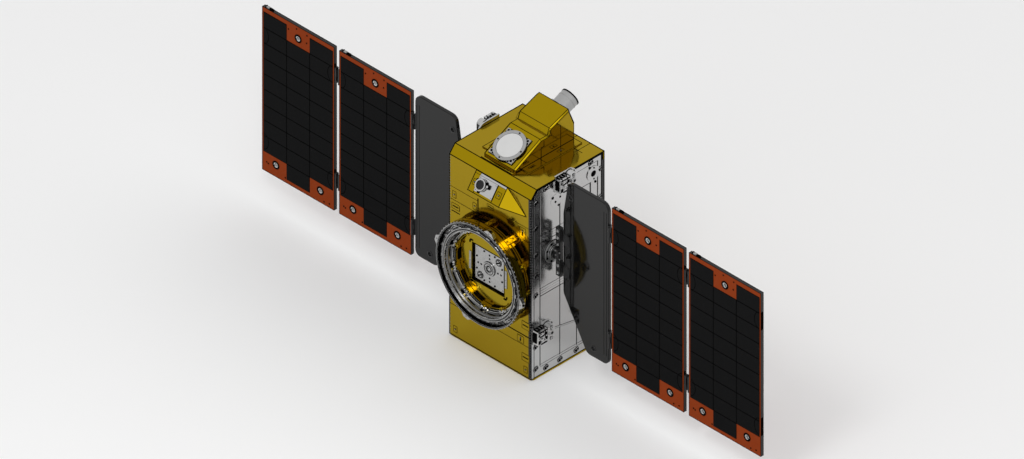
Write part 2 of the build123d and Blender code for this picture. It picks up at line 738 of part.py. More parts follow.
def wing():
    """Pieces of the right wing."""
    root_hinge = (ROOT_HINGE_H, ROOT_HALF_GAP, root_pin_x, root_pin_y, root_hinge_zs, True)
    inner_hinge = (PANEL_HINGE_H, YOKE_HALF_GAP, inner_pin_x, inner_pin_y, panel_hinge_zs, False)
    outer_hinge = (PANEL_HINGE_H, PANEL_HALF_GAP, outer_pin_x, outer_pin_y, panel_hinge_zs, True)
    boss_h = SHAFT_END_GAP + SHAFT_L
    root = block((root_x0, root_x1), (wing_y, wing_y + ROOT_T), (DRIVE_Z - ROOT_BELOW, DRIVE_Z + ROOT_ABOVE))
    root += DRIVE_PLANE * disc(ROOT_BOSS_R, boss_h, boss_h + ROOT_BOSS_L)
    return {
        "drive_shaft": DRIVE_PLANE * disc(SHAFT_R, SHAFT_END_GAP, boss_h),
        "root_bracket": root,
        "root_hinges": group(hinge_set(hinge_fixed, *root_hinge)),
        "yoke_plate": yoke_plate(),
        "yoke_hinges": group(hinge_set(hinge_moving, *root_hinge) + hinge_set(hinge_fixed, *inner_hinge)),
        "inner_panel": substrate(inner_x0),
        "inner_cells": cells(inner_x0),
        "inner_cups": cups(inner_x0),
        "inner_hinges": group(hinge_set(hinge_moving, *inner_hinge) + hinge_set(hinge_fixed, *outer_hinge)),
        "outer_panel": substrate(outer_x0),
        "outer_cells": cells(outer_x0),
        "outer_cups": cups(outer_x0),
        "outer_hinges": group(hinge_set(hinge_moving, *outer_hinge)),
    }


for name, shape in wing().items():
    nodes["right_" + name] = shape
    nodes["left_" + name] = mirror(shape, about=Plane.YZ)

for name, shape in nodes.items():
    export_step(shape, f"parts/{name}.step")
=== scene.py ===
import json
from collections import defaultdict
from math import cos, pi, radians, sin, tau

import bmesh
import bpy
from mathutils import Matrix, Vector

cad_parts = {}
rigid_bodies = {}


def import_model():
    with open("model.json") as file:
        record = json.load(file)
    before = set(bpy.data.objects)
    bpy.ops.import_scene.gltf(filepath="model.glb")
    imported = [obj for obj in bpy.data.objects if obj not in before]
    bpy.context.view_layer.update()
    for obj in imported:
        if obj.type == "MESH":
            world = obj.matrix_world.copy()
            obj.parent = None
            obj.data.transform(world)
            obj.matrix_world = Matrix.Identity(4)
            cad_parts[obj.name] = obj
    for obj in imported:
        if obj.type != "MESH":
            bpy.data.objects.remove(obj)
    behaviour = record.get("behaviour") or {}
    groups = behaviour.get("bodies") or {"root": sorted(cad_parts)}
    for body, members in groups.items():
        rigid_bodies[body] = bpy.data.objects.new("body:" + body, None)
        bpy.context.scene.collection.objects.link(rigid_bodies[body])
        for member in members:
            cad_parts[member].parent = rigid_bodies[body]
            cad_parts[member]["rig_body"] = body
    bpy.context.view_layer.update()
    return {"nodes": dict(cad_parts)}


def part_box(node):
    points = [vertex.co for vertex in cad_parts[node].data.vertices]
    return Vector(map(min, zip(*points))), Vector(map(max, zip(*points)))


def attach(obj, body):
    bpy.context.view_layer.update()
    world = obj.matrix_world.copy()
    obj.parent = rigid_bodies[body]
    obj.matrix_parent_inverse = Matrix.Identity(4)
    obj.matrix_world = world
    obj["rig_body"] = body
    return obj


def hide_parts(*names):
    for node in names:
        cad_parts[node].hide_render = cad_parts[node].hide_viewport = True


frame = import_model()

# All sizes below are in millimetres, as on the drawing; meshes are scaled to metres when they are made.
# A depth is measured back from the front face of the bus.
MM = 0.001

# Material slots
BLACK = "black_trim"
METAL = "ring_metal"
SILVER = "silver_panel"
GREY = "grey_metal"
HINGE = "hinge_black"
GOLD = "gold_adapter"
YOKE = "yoke_dark"


def box_of(node):
    """Lowest and highest corner of a node, in millimetres."""
    low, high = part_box(node)
    return low / MM, high / MM


# Bus faces, from the frame
FRONT = box_of("front_panel")[0].y
BACK = box_of("rear_panel")[1].y
SIDE = box_of("side_panel_right")[1].x
TOP = box_of("top_panel")[1].z
BASE_T = box_of("bottom_panel")[1].z
BEVEL_D = box_of("top_panel")[0].y - FRONT
BEVEL_H = 33
REAR_DEPTH = BACK - FRONT

# Separation ring and drum, from the frame; heights are measured out from the front face
ring_low, ring_high = box_of("separation_ring")
RING_Z = (ring_low.z + ring_high.z) / 2
RING_R = (ring_high.z - ring_low.z) / 2
RING_TOP = FRONT - ring_low.y
DRUM_H = FRONT - ring_high.y
LEDGE_TOP = FRONT - box_of("ring_band")[1].y
BOLT_R = 190.5
BOLT_COUNT = 24
LEAF_R = (170, 183)

# Wing faces, from the frame
yoke_low, yoke_high = box_of("right_yoke_plate")
WING_Y = yoke_low.y
YOKE_BACK = yoke_high.y
panel_low, panel_high = box_of("right_inner_panel")
PANEL_W = panel_high.x - panel_low.x
PANEL_Z = (panel_low.z, panel_high.z)
PANEL_BACK = panel_high.y
PANEL_X0 = {"inner": panel_low.x, "outer": box_of("right_outer_panel")[0].x}
drive_low, drive_high = box_of("drive_housing_right")
DRIVE_Z = (drive_low.z + drive_high.z) / 2
DRIVE_Y = (drive_low.y + drive_high.y) / 2


# Places: matrices whose z axis points out of a face
def place(origin, x_axis, z_axis):
    """Matrix from an origin, its x direction and its outward z direction."""
    z = Vector(z_axis).normalized()
    x = Vector(x_axis).normalized()
    matrix = Matrix((x, z.cross(x), z)).transposed().to_4x4()
    matrix.translation = Vector(origin)
    return matrix


def at(x=0, y=0, z=0, turn=0):
    """Move within a place, then turn about its z axis, in degrees."""
    return Matrix.Translation((x, y, z)) @ Matrix.Rotation(radians(turn), 4, "Z")


# Faces: x runs right as one looks at them, y runs up, or to the back on the top
FRONT_FACE = place((0, FRONT, 0), (1, 0, 0), (0, -1, 0))
REAR_FACE = place((0, BACK, 0), (-1, 0, 0), (0, 1, 0))
TOP_FACE = place((0, FRONT, TOP), (1, 0, 0), (0, 0, 1))
SIDE_FACE = place((SIDE, FRONT, 0), (0, 1, 0), (1, 0, 0))
WING_FACE = place((0, WING_Y, 0), (1, 0, 0), (0, -1, 0))
YOKE_REAR = place((0, YOKE_BACK, 0), (-1, 0, 0), (0, 1, 0))
PANEL_REAR = place((0, PANEL_BACK, 0), (-1, 0, 0), (0, 1, 0))
RING_AXIS = FRONT_FACE @ at(y=RING_Z)


def on_ring(angle, radius, out):
    """Place on the separation ring; its x axis points away from the ring's centre."""
    return RING_AXIS @ at(turn=angle) @ at(radius, z=out)


def on_rim(angle, radius, out):
    """Place on the drum's outside, looking away from its centre."""
    return on_ring(angle, radius, out) @ Matrix.Rotation(pi / 2, 4, "Y")


# Flat outlines and groups of points, running anticlockwise
def rectangle(width, height, x=0, y=0):
    """Rectangle about a middle point."""
    w = width / 2
    h = height / 2
    return [(x - w, y - h), (x + w, y - h), (x + w, y + h), (x - w, y + h)]


def polygon(count, radius, start=0):
    """Regular polygon by its corner radius."""
    angles = [radians(start) + tau * k / count for k in range(count)]
    return [(radius * cos(a), radius * sin(a)) for a in angles]


def arc(radius, start, end, out, steps=8):
    """Points along an arc about the ring's axis."""
    angles = [radians(start + (end - start) * k / steps) for k in range(steps + 1)]
    return [(radius * cos(a), radius * sin(a), out) for a in angles]


def corners(x, y):
    """One point in each quarter."""
    return [(sx * x, sy * y) for sx in (-1, 1) for sy in (-1, 1)]


def rounded(width, height, radius, steps=4):
    """Rectangle with round corners."""
    points = []
    for corner in range(4):
        sx = 1 if corner in (0, 3) else -1
        sy = 1 if corner in (0, 1) else -1
        centre = Vector((sx * (width / 2 - radius), sy * (height / 2 - radius)))
        for k in range(steps + 1):
            a = pi / 2 * (corner + k / steps)
            points.append(tuple(centre + radius * Vector((cos(a), sin(a)))))
    return points


def inset(outline, amount):
    """Outline moved inwards by an amount."""
    moved = []
    for k, point in enumerate(outline):
        here = Vector(point)
        before = (here - Vector(outline[k - 1])).normalized()
        after = (Vector(outline[(k + 1) % len(outline)]) - here).normalized()
        n0 = Vector((-before.y, before.x))
        n1 = Vector((-after.y, after.x))
        moved.append(tuple(here + (n0 + n1) * (amount / (1 + n0.dot(n1)))))
    return moved


SEAM_H = 0.5
# Profiles of fasteners: radius and height, as shares of the screw's or nut's radius
SCREW_HEAD = (
    (0, 0), (1.5, 0), (1.5, 0.2), (1, 0.25), (1, 0.95), (0.85, 1.1), (0.55, 1.1),
    (0.5, 0.6), (0, 0.6),
)
STUD_END = ((0, 0.8), (0.5, 0.8), (0.5, 1.2), (0.4, 1.35), (0, 1.35))


class Kit:
    """Small shapes that ride on one body, joined into one mesh per material slot."""

    def __init__(self, name, body):
        self.name = name
        self.body = body
        self.meshes = defaultdict(bmesh.new)

    def skin(self, slot, where, rings, along=False, tips=()):
        """Skin over rings of points: joined from last to first, or closed by two tips or by flat ends."""
        size = len(rings[0])
        last = (len(rings) - 1) * size
        points = [point for ring in rings for point in ring]
        faces = []
        for r in range(len(rings) if along else len(rings) - 1):
            low = r * size
            high = (r + 1) % len(rings) * size
            faces += [(low + k, low + (k + 1) % size, high + (k + 1) % size, high + k) for k in range(size)]
        if tips:
            foot = len(points)
            points += tips
            faces += [((k + 1) % size, k, foot) for k in range(size)]
            faces += [(last + k, last + (k + 1) % size, foot + 1) for k in range(size)]
        elif not along:
            faces += [tuple(reversed(range(size))), tuple(range(last, last + size))]
        mesh = self.meshes[slot]
        verts = [mesh.verts.new(where @ Vector(point)) for point in points]
        for face in faces:
            mesh.faces.new([verts[k] for k in face])

    def prism(self, slot, where, outline, top, bevel=0, start=0):
        """Outline drawn up from its start to its top, with the upper edge bevelled."""
        levels = [(outline, start), (outline, top - bevel)]
        if bevel:
            levels.append((inset(outline, bevel), top))
        self.skin(slot, where, [[(x, y, z) for x, y in points] for points, z in levels])

    def block(self, slot, where, size, bevel=0.6):
        """Rectangular block standing on a place."""
        width, height, rise = size
        self.prism(slot, where, rectangle(width, height), rise, bevel)

    def lathe(self, slot, where, profile, steps=24):
        """Profile of (radius, height) points, turned about the z axis; closed unless it meets the axis."""
        solid = profile[0][0] == 0
        turned = profile[1:-1] if solid else profile
        tips = [(0, 0, profile[k][1]) for k in (0, -1)] if solid else []
        circle = polygon(steps, 1)
        rings = [[(r * c, r * s, z) for c, s in circle] for r, z in turned]
        self.skin(slot, where, rings, not solid, tips)

    def disc(self, slot, where, radius, rise, steps=20):
        """Plain disc."""
        self.lathe(slot, where, [(0, 0), (radius, 0), (radius, rise), (0, rise)], steps)

    def band(self, where, inner, outer, low, high, steps=64, slot=BLACK):
        """Plain ring between two radii and two heights."""
        self.lathe(slot, where, [(inner, low), (outer, low), (outer, high), (inner, high)], steps)

    def sweep(self, slot, where, path, section, up=(0, 0, 1), closed=False):
        """Section of (side, up) points drawn along a path, with mitred corners."""
        points = [Vector(point) for point in path]
        last = len(points) - 1
        rings = []
        for k, point in enumerate(points):
            before = points[k - 1] if closed or k else points[0]
            after = points[(k + 1) % len(points)] if closed or k < last else points[last]
            came = (point - before).normalized() if point != before else (after - point).normalized()
            goes = (after - point).normalized() if after != point else came
            tangent = (came + goes).normalized()
            side = tangent.cross(Vector(up)).normalized()
            lift = side.cross(tangent)
            widen = 1 / max(0.3, tangent.dot(goes))
            rings.append([point + side * (s * widen) + lift * u for s, u in section])
        self.skin(slot, where, rings, closed)

    def bead(self, path, radius, slot=BLACK, where=Matrix(), up=(0, 0, 1), closed=False, steps=6):
        """Round bead or rod along a path."""
        self.sweep(slot, where, path, polygon(steps, radius), up, closed)

    def strip(self, where, path, width, height=SEAM_H, slot=BLACK, closed=False):
        """Flat strip along (x, y) points of a place."""
        flat = [(x, y, 0) for x, y in path]
        self.sweep(slot, where, flat, rectangle(width, height, 0, height / 2), closed=closed)

    def slit(self, radius, start, end, out, width, height, steps=6):
        """Dark curved strip about the ring's axis."""
        self.sweep(BLACK, RING_AXIS, arc(radius, start, end, out, steps), rectangle(width, height))

    def coil(self, slot, where, radius, wire, length, turns, steps=10):
        """Coil spring along the z axis."""
        path = []
        for k in range(turns * steps + 1):
            a = tau * k / steps
            path.append((radius * cos(a), radius * sin(a), length * k / (turns * steps)))
        self.sweep(slot, where, path, polygon(5, wire))

    def screw(self, where, radius, slot=METAL):
        """Socket-head screw on a washer."""
        self.lathe(slot, where, [(r * radius, z * radius) for r, z in SCREW_HEAD], 16)
        self.prism(BLACK, where, polygon(6, 0.48 * radius), 0.65 * radius, start=0.5 * radius)

    def screws(self, where, points, radius, slot=METAL):
        """Screws at (x, y) points of a place."""
        for x, y in points:
            self.screw(where @ at(x, y), radius, slot)

    def nut(self, where, radius, slot=METAL):
        """Hexagon nut on a washer with the end of its stud."""
        self.disc(slot, where, 1.45 * radius, 0.2 * radius)
        self.prism(slot, where, polygon(6, radius), 0.85 * radius, 0.15 * radius, 0.15 * radius)
        self.lathe(slot, where, [(r * radius, z * radius) for r, z in STUD_END], 12)

    def emit(self, turn=Matrix(), hand="right"):
        """Objects of one hand, turned about the middle of the bus."""
        name = self.name.replace("right", hand)
        body = self.body.replace("right", hand)
        for slot, mesh in self.meshes.items():
            copy = mesh.copy()
            copy.transform(Matrix.Diagonal((MM, MM, MM, 1)) @ turn)
            dress(new_mesh(f"{name}_{slot}", copy), slot, body)

    def pair(self, turn=Matrix.Diagonal((-1, 1, 1, 1))):
        """Objects of the right side and their left copies, mirrored unless a turn is given."""
        self.emit()
        self.emit(turn, "left")


def new_mesh(name, source):
    """Mesh data from an editable mesh, which is then freed."""
    bmesh.ops.recalc_face_normals(source, faces=source.faces)
    data = bpy.data.meshes.new(name)
    source.to_mesh(data)
    source.free()
    return data


def new_object(name, data):
    """Object in the scene."""
    item = bpy.data.objects.new(name, data)
    bpy.context.scene.collection.objects.link(item)
    return item


def dress(data, slot, body, hard=38):
    """Object from a mesh, smooth apart from hard edges, that rides on a body."""
    data.materials.clear()
    data.materials.append(finishes[slot])
    data.shade_smooth()
    data.set_sharp_from_angle(angle=radians(hard))
    piece = new_object(data.name, data)
    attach(piece, body)
    return piece


# Angles between faces, in degrees: flatter ones count as one face, sharper edges are rounded
FLAT_ANGLE = 0.5
SHARP_ANGLE = 35


def soften(node, width):
    """Stand-in for a node: the same form with its sharp edges rounded."""
    source = frame["nodes"][node]
    slot = source.data.materials[0].name
    mesh = bmesh.new()
    mesh.from_mesh(source.data)
    bmesh.ops.remove_doubles(mesh, verts=mesh.verts, dist=1e-6)
    bmesh.ops.dissolve_limit(mesh, angle_limit=radians(FLAT_ANGLE), verts=mesh.verts, edges=mesh.edges)
    sharp = [e for e in mesh.edges if e.is_manifold and e.calc_face_angle() > radians(SHARP_ANGLE)]
    rounding = {"offset": width * MM, "segments": 2, "profile": 0.5, "affect": "EDGES", "clamp_overlap": True}
    bmesh.ops.bevel(mesh, geom=sharp, **rounding)
    piece = dress(new_mesh(node + "_finished", mesh), slot, source["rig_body"], hard=50)
    piece.modifiers.new("even_normals", "WEIGHTED_NORMAL").keep_sharp = True
    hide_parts(node)


class Finish:
    """Principled material with helpers for its nodes."""

    def __init__(self, name, **values):
        self.material = bpy.data.materials.new(name)
        self.material.use_nodes = True
        self.tree = self.material.node_tree
        self.shader = self.tree.nodes["Principled BSDF"]
        self.feed(self.shader, values)

    def feed(self, node, inputs):
        """Give a node's inputs their values, or the outputs of other nodes."""
        for key, value in inputs.items():
            socket = node.inputs[key if isinstance(key, int) else key.replace("_", " ")]
            if isinstance(value, bpy.types.NodeSocket):
                self.tree.links.new(value, socket)
            else:
                socket.default_value = value

    def node(self, kind, output, inputs, **settings):
        """One output of a new node with its settings and inputs."""
        node = self.tree.nodes.new("ShaderNode" + kind)
        for key, value in settings.items():
            setattr(node, key, value)
        self.feed(node, inputs)
        return node.outputs[output]

    def coords(self, stretch=(1, 1, 1)):
        """Object coordinates, stretched."""
        source = self.node("TexCoord", "Object", {})
        return self.node("Mapping", "Vector", {"Vector": source, "Scale": stretch})

    def noise(self, scale, detail=2, stretch=(1, 1, 1)):
        """Soft noise; scale is features per metre."""
        inputs = {"Vector": self.coords(stretch), "Scale": scale, "Detail": detail}
        return self.node("TexNoise", "Fac", inputs)

    def bands(self, period, axis, low=0):
        """Parallel lines at a period in metres along an axis; low cuts them thinner."""
        inputs = {"Vector": self.coords(), "Scale": tau / (20 * period), "Distortion": 0}
        wave = self.node("TexWave", "Fac", inputs, wave_type="BANDS", bands_direction=axis)
        return self.span(wave, low, 1, 0, 1)

    def span(self, factor, from_low, from_high, to_low, to_high):
        """Value mapped from one range to another."""
        ends = {"From_Min": from_low, "From_Max": from_high, "To_Min": to_low, "To_Max": to_high}
        return self.node("MapRange", "Result", {"Value": factor, **ends})

    def mix(self, factor, low, high):
        """Colour between two colours."""
        return self.node("Mix", "Result", {"Factor": factor, "A": low, "B": high}, data_type="RGBA")

    def product(self, a, b):
        """Two values multiplied."""
        return self.node("Math", "Value", {0: a, 1: b}, operation="MULTIPLY")

    def colour(self, factor, low, high):
        """Base colour that varies between two colours."""
        self.feed(self.shader, {"Base_Color": self.mix(factor, (*low, 1), (*high, 1))})

    def roughness(self, factor, low, high):
        """Roughness that varies between two values."""
        self.feed(self.shader, {"Roughness": self.span(factor, 0.3, 0.7, low, high)})

    def bump(self, height, strength, distance):
        """Relief of the surface; a second call adds to the first."""
        inputs = {"Height": height, "Strength": strength, "Distance": distance}
        normal = self.shader.inputs["Normal"]
        if normal.is_linked:
            inputs["Normal"] = normal.links[0].from_socket
        self.feed(self.shader, {"Normal": self.node("Bump", "Normal", inputs)})


# columns: specular level or None for bare metal; noise of the colour, darker and lighter colour;
# noise of the roughness, its range; then the reliefs as noise, strength and distance
FINISHES = {
    # Gold blanket film: mirror-like, faintly wrinkled
    "gold_film": (
        None, (5, 3), (0.336, 0.226, 0.002), (0.371, 0.254, 0.006), (22, 3), (0.09, 0.15),
        ((13, 4, (1, 1, 0.6)), 0.02, 0.01), ((160, 2), 0.012, 0.001),
    ),
    # Gold-coated drum: smooth, with faint turning marks
    "gold_adapter": (
        None, (8, 2), (0.34, 0.240, 0.004), (0.38, 0.268, 0.009), (40, 3), (0.08, 0.14),
        ((300, 2), 0.01, 0.0006),
    ),
    # Silver film over the side panels and machined fittings
    "silver_panel": (
        None, (7, 3), (0.51, 0.51, 0.51), (0.55, 0.55, 0.545), (30, 4), (0.16, 0.26), ((26, 3), 0.015, 0.004),
    ),
    # Machined aluminium with fine tool marks
    "ring_metal": (
        None, (60, 3), (0.40, 0.40, 0.40), (0.50, 0.50, 0.495), (90, 3), (0.18, 0.32),
        ((700, 2), 0.02, 0.0005),
    ),
    # Blasted aluminium, matt
    "grey_metal": (
        None, (50, 3), (0.38, 0.38, 0.38), (0.42, 0.42, 0.415), (120, 3), (0.34, 0.44),
        ((900, 2), 0.03, 0.0005),
    ),
    # Dark steel, turned
    "shaft_steel": (None, (40, 2), (0.14, 0.14, 0.14), (0.18, 0.18, 0.18), (80, 3, (4, 1, 1)), (0.26, 0.34)),
    # Black tape and seals, slightly worn
    "black_trim": (
        0.01, (40, 4), (0.0004, 0.0004, 0.0004), (0.0016, 0.0016, 0.0016), (60, 3), (0.45, 0.65),
        ((500, 2), 0.08, 0.0006),
    ),
    # Black anodised metal
    "hinge_black": (
        0.35, (60, 3), (0.006, 0.006, 0.006), (0.016, 0.016, 0.017), (90, 3), (0.32, 0.48),
        ((800, 2), 0.06, 0.0005),
    ),
    # White paint on the antenna's cover
    "radome_white": (
        0.4, (30, 3), (0.57, 0.57, 0.565), (0.62, 0.62, 0.615), (60, 3), (0.42, 0.55),
        ((650, 2), 0.06, 0.0005),
    ),
    # Plain chromate coat of the closed equipment
    "equipment": (None, (12, 3), (0.30, 0.28, 0.20), (0.38, 0.36, 0.26), (40, 3), (0.35, 0.5)),
}


def plain_finish(name, specular, tone, low, high, gloss, rough, *reliefs):
    """Finish whose colour, roughness and relief follow noises."""
    f = Finish(name, Metallic=1) if specular is None else Finish(name, Specular_IOR_Level=specular)
    f.colour(f.noise(*tone), low, high)
    f.roughness(f.noise(*gloss), *rough)
    for relief, strength, distance in reliefs:
        f.bump(f.noise(*relief), strength, distance)
    return f


def yoke_dark():
    """Carbon skin under clear resin: fine twill below a glossy face."""
    f = Finish("yoke_dark", Specular_IOR_Level=0.3)
    twill = f.product(f.bands(0.004, "DIAGONAL", 0.2), f.bands(0.0026, "X"))
    f.colour(twill, (0.003, 0.003, 0.003), (0.008, 0.008, 0.008))
    f.roughness(f.noise(25, 3), 0.05, 0.09)
    return f


def board_orange():
    """Amber film over the panel boards, with the faint weave of the skin below."""
    f = Finish("board_orange", Specular_IOR_Level=0.03)
    f.colour(f.noise(18, 4), (0.215, 0.030, 0.003), (0.240, 0.037, 0.006))
    f.roughness(f.noise(35, 3), 0.30, 0.42)
    f.bump(f.product(f.bands(0.003, "X"), f.bands(0.003, "Z")), 0.06, 0.0004)
    return f


def solar_cell():
    """Dark cells under cover glass: hair-thin contact fingers on a nearly black face."""
    f = Finish("solar_cell", Specular_IOR_Level=0.03)
    shade = f.mix(f.noise(11, 2), (0.0012, 0.0013, 0.0014, 1), (0.0022, 0.0023, 0.0024, 1))
    fingers = f.mix(f.bands(0.0016, "X", 0.93), shade, (0.010, 0.010, 0.011, 1))
    f.feed(f.shader, {"Base_Color": fingers})
    f.roughness(f.noise(14, 2), 0.16, 0.26)
    return f


def lens_glass():
    """Dark coated glass."""
    f = Finish("lens_glass", Roughness=0.06, Coat_Weight=0.3, Coat_Roughness=0.03, Specular_IOR_Level=0.15)
    f.colour(f.noise(20, 2), (0.004, 0.004, 0.005), (0.009, 0.009, 0.011))
    return f


finishes = {name: plain_finish(name, *row).material for name, row in FINISHES.items()}
for maker in (yoke_dark, board_orange, solar_cell, lens_glass):
    finishes[maker.__name__] = maker().material

# Edge rounding of the nodes, in millimetres; what isn't named keeps its own faces
SOFT_EDGES = {
    "bottom_panel": 1, "top_panel": 1.2, "front_panel": 1.2, "rear_panel": 1.2, "housing_skirt": 0.8,
    "side_panel_right": 0.4, "side_panel_left": 0.4, "corner_posts": 0.8, "top_housing": 1.6,
    "sensor_wedge": 1, "sensor_tent": 1, "sensor_head": 0.6, "antenna_base": 0.8, "antenna_ring": 0.8,
    "antenna_radome": 1, "star_tracker_baffle": 0.6, "thruster_plate": 0.5, "adapter_drum": 0.8,
    "separation_ring": 0.6, "ring_flange": 0.5, "ring_band": 0.3, "ring_leaves": 0.5, "ring_lugs": 1.5,
    "side_port": 0.6, "sensor_lens": 0.8, "star_tracker_lens": 1.5,
}
HANDED_EDGES = {
    "holddowns_{}": 0.8, "drive_housing_{}": 0.8, "{}_drive_shaft": 0.5, "{}_root_bracket": 1.5,
    "{}_yoke_plate": 0.5, "{}_root_hinges": 0.5, "{}_yoke_hinges": 0.5, "{}_inner_hinges": 0.5,
    "{}_outer_hinges": 0.5, "{}_inner_panel": 0.6, "{}_inner_cells": 0.15, "{}_inner_cups": 0.4,
    "{}_outer_panel": 0.6, "{}_outer_cells": 0.15, "{}_outer_cups": 0.4,
}
for hand in ("right", "left"):
    SOFT_EDGES.update({name.format(hand): width for name, width in HANDED_EDGES.items()})
for node, width in SOFT_EDGES.items():
    soften(node, width)
for node in set(frame["nodes"]) - set(SOFT_EDGES):
    slot = frame["nodes"][node].data.materials[0].name
    frame["nodes"][node].material_slots[0].material = finishes[slot]

# Blanket seams: dark binding along the edges of the bus
BINDING_R = 1.8
EDGE_TAPE_W = 8
POST_W = 12
POST_TOP = TOP - BEVEL_H
CORNER_TRIM_W = 6.5
RIVET_PITCH = 11
RIVET = ((0, 0), (1.5, 0), (1, 0.9), (0, 1.1))
side_outline = [(0, BASE_T), (REAR_DEPTH, BASE_T), (REAR_DEPTH, TOP), (BEVEL_D, TOP), (0, POST_TOP)]


def blanket_edges():
    """Binding round both sides and along the cross edges, tape over the side panels' edges, corner trim."""
    kit = Kit("blanket_edges", "bus")
    for x in (-SIDE, SIDE):
        kit.bead([(x, FRONT + depth, z) for depth, z in side_outline], BINDING_R, up=(1, 0, 0), closed=True)
    for depth, z in side_outline:
        kit.bead([(-SIDE, FRONT + depth, z), (SIDE, FRONT + depth, z)], BINDING_R)
    tape = Kit("right_edge_tape", "bus")
    middle = inset(side_outline, EDGE_TAPE_W / 2)
    tape.strip(SIDE_FACE, [middle[k] for k in (4, 3, 2)], EDGE_TAPE_W)
    for slot, depth in ((SILVER, POST_W / 2), (YOKE, REAR_DEPTH - POST_W / 2)):
        tape.strip(SIDE_FACE, [(depth, BASE_T), (depth, POST_TOP)], POST_W, slot=slot)
    for k in range(int((POST_TOP - BASE_T) / RIVET_PITCH)):
        z = BASE_T + RIVET_PITCH * (k + 0.5)
        for spot in (SIDE_FACE @ at(3.4, z, SEAM_H), FRONT_FACE @ at(SIDE - 3.2, z, SEAM_H)):
            tape.lathe(SILVER, spot, RIVET, 8)
    for slot, x in ((YOKE, SIDE - 9.5), (BLACK, SIDE - 3)):
        kit.strip(FRONT_FACE, [(x, BASE_T), (x, POST_TOP)], CORNER_TRIM_W, slot=slot)
    kit.emit()
    tape.pair()


PATCH_T = 0.7
PATCH_LINE = 1.6


def patch(kit, where, width, height, mark):
    """Bare film patch with a dark border and a stud, latch or bar on it."""
    outline = rounded(width, height, 2.5)
    kit.prism("gold_film", where, outline, PATCH_T, 0.3)
    kit.strip(where, inset(outline, 1.5), PATCH_LINE, PATCH_T + 0.2, closed=True)
    face = where @ at(z=PATCH_T)
    if mark == "stud":
        kit.lathe(BLACK, face, [(0, 0), (3.6, 0), (3.6, 0.8), (2.4, 1.6), (0, 1.6)], 18)
        kit.lathe(METAL, face @ at(z=1.5), [(0, 0), (1.6, 0), (1.2, 0.8), (0, 0.9)], 14)
    if mark == "latch":
        kit.prism(BLACK, face @ at(turn=90), rounded(0.55 * height, 4.6, 2.2), 1.6, 0.5)
        kit.lathe(METAL, face @ at(y=0.14 * height, z=1.5), [(0, 0), (1.5, 0), (1.2, 0.7), (0, 0.8)], 14)
    if mark == "bar":
        kit.prism(BLACK, face, rounded(0.7 * width, 3.4, 1.6), 1.4, 0.4)


# columns: x, z, width, height, mark
FRONT_PATCHES = (
    (-177, 606, 20, 30, "stud"),
    (-77, 606, 20, 30, "stud"),
    (-170, 557, 40, 26, "bar"),
    (0, 640, 34, 20, "bar"),
    (158, 610, 32, 46, "latch"),
    (-172, 36, 20, 28, "stud"),
    (173, 36, 20, 28, "stud"),
    (173, 86, 38, 34, "bar"),
    (148, 155, 34, 30, "latch"),
    (173, 222, 38, 34, "bar"),
)
# columns: points (x, z) along the seam, width
FRONT_SEAMS = (
    (((-196, 582), (-61, 582)), 1.6),
    (((-196, 635), (-61, 635)), 1.2),
    (((-61, 580), (-61, 646)), 5),
    (((-190, 534), (-150, 534)), 3.6),
    (((92, 640), (196, 640)), 1.4),
    (((118, 582), (196, 582)), 1.4),
    (((84, 178), (198, 178)), 4.2),
    (((34, 136), (198, 136)), 1.4),
    (((-198, 136), (-150, 136)), 1.4),
)
# The rear blanket repeats the front one's plain seams and studs
REAR_SEAMS = (
    (((-196, 582), (196, 582)), 1.6),
    (((-196, 178), (196, 178)), 1.6),
    (((0, 178), (0, 582)), 1.6),
)
REAR_STUDS = [(x, z) for z in (36, 222, 606, 745) for x in (-172, 172)]


def blanket_faces():
    """Seams and patches on the front and rear blankets."""
    kit = Kit("blanket_patches", "bus")
    for x, z, width, height, mark in FRONT_PATCHES:
        patch(kit, FRONT_FACE @ at(x, z), width, height, mark)
    for x, z in REAR_STUDS:
        patch(kit, REAR_FACE @ at(x, z), 20, 28, "stud")
    for where, seams in ((FRONT_FACE, FRONT_SEAMS), (REAR_FACE, REAR_SEAMS)):
        for path, width in seams:
            kit.strip(where, path, width)
    kit.emit()


# Top housing: side outline as (depth, rise) points, with bevelled side edges
HOUSING_W = box_of("top_housing")[1].x * 2
HOUSING_BEVEL = 6
housing_outline = [
    (43, -12), (43, 12), (172, 78), (207, 78), (217, 103.5), (310, 138),
    (338.5, 67.5), (338.5, -12),
]
# columns: points (depth, rise) along the seam on the housing's side, width
HOUSING_SEAMS = (
    (((172, 4), (172, 44), (186, 44), (186, 66)), 2.6),
    (((268, 4), (268, 92), (248, 112)), 2),
    (((202, 78), (216, 96), (226, 70), (202, 78)), 1.4),
)
TOP_SEAMS = (((133, 284), (133, REAR_DEPTH)), ((111, 296), (155, 296)), ((68, 339), (68, REAR_DEPTH)))
SKIRT_T = 3
SKIRT_X = 115
SKIRT_DEPTHS = (75, 336)


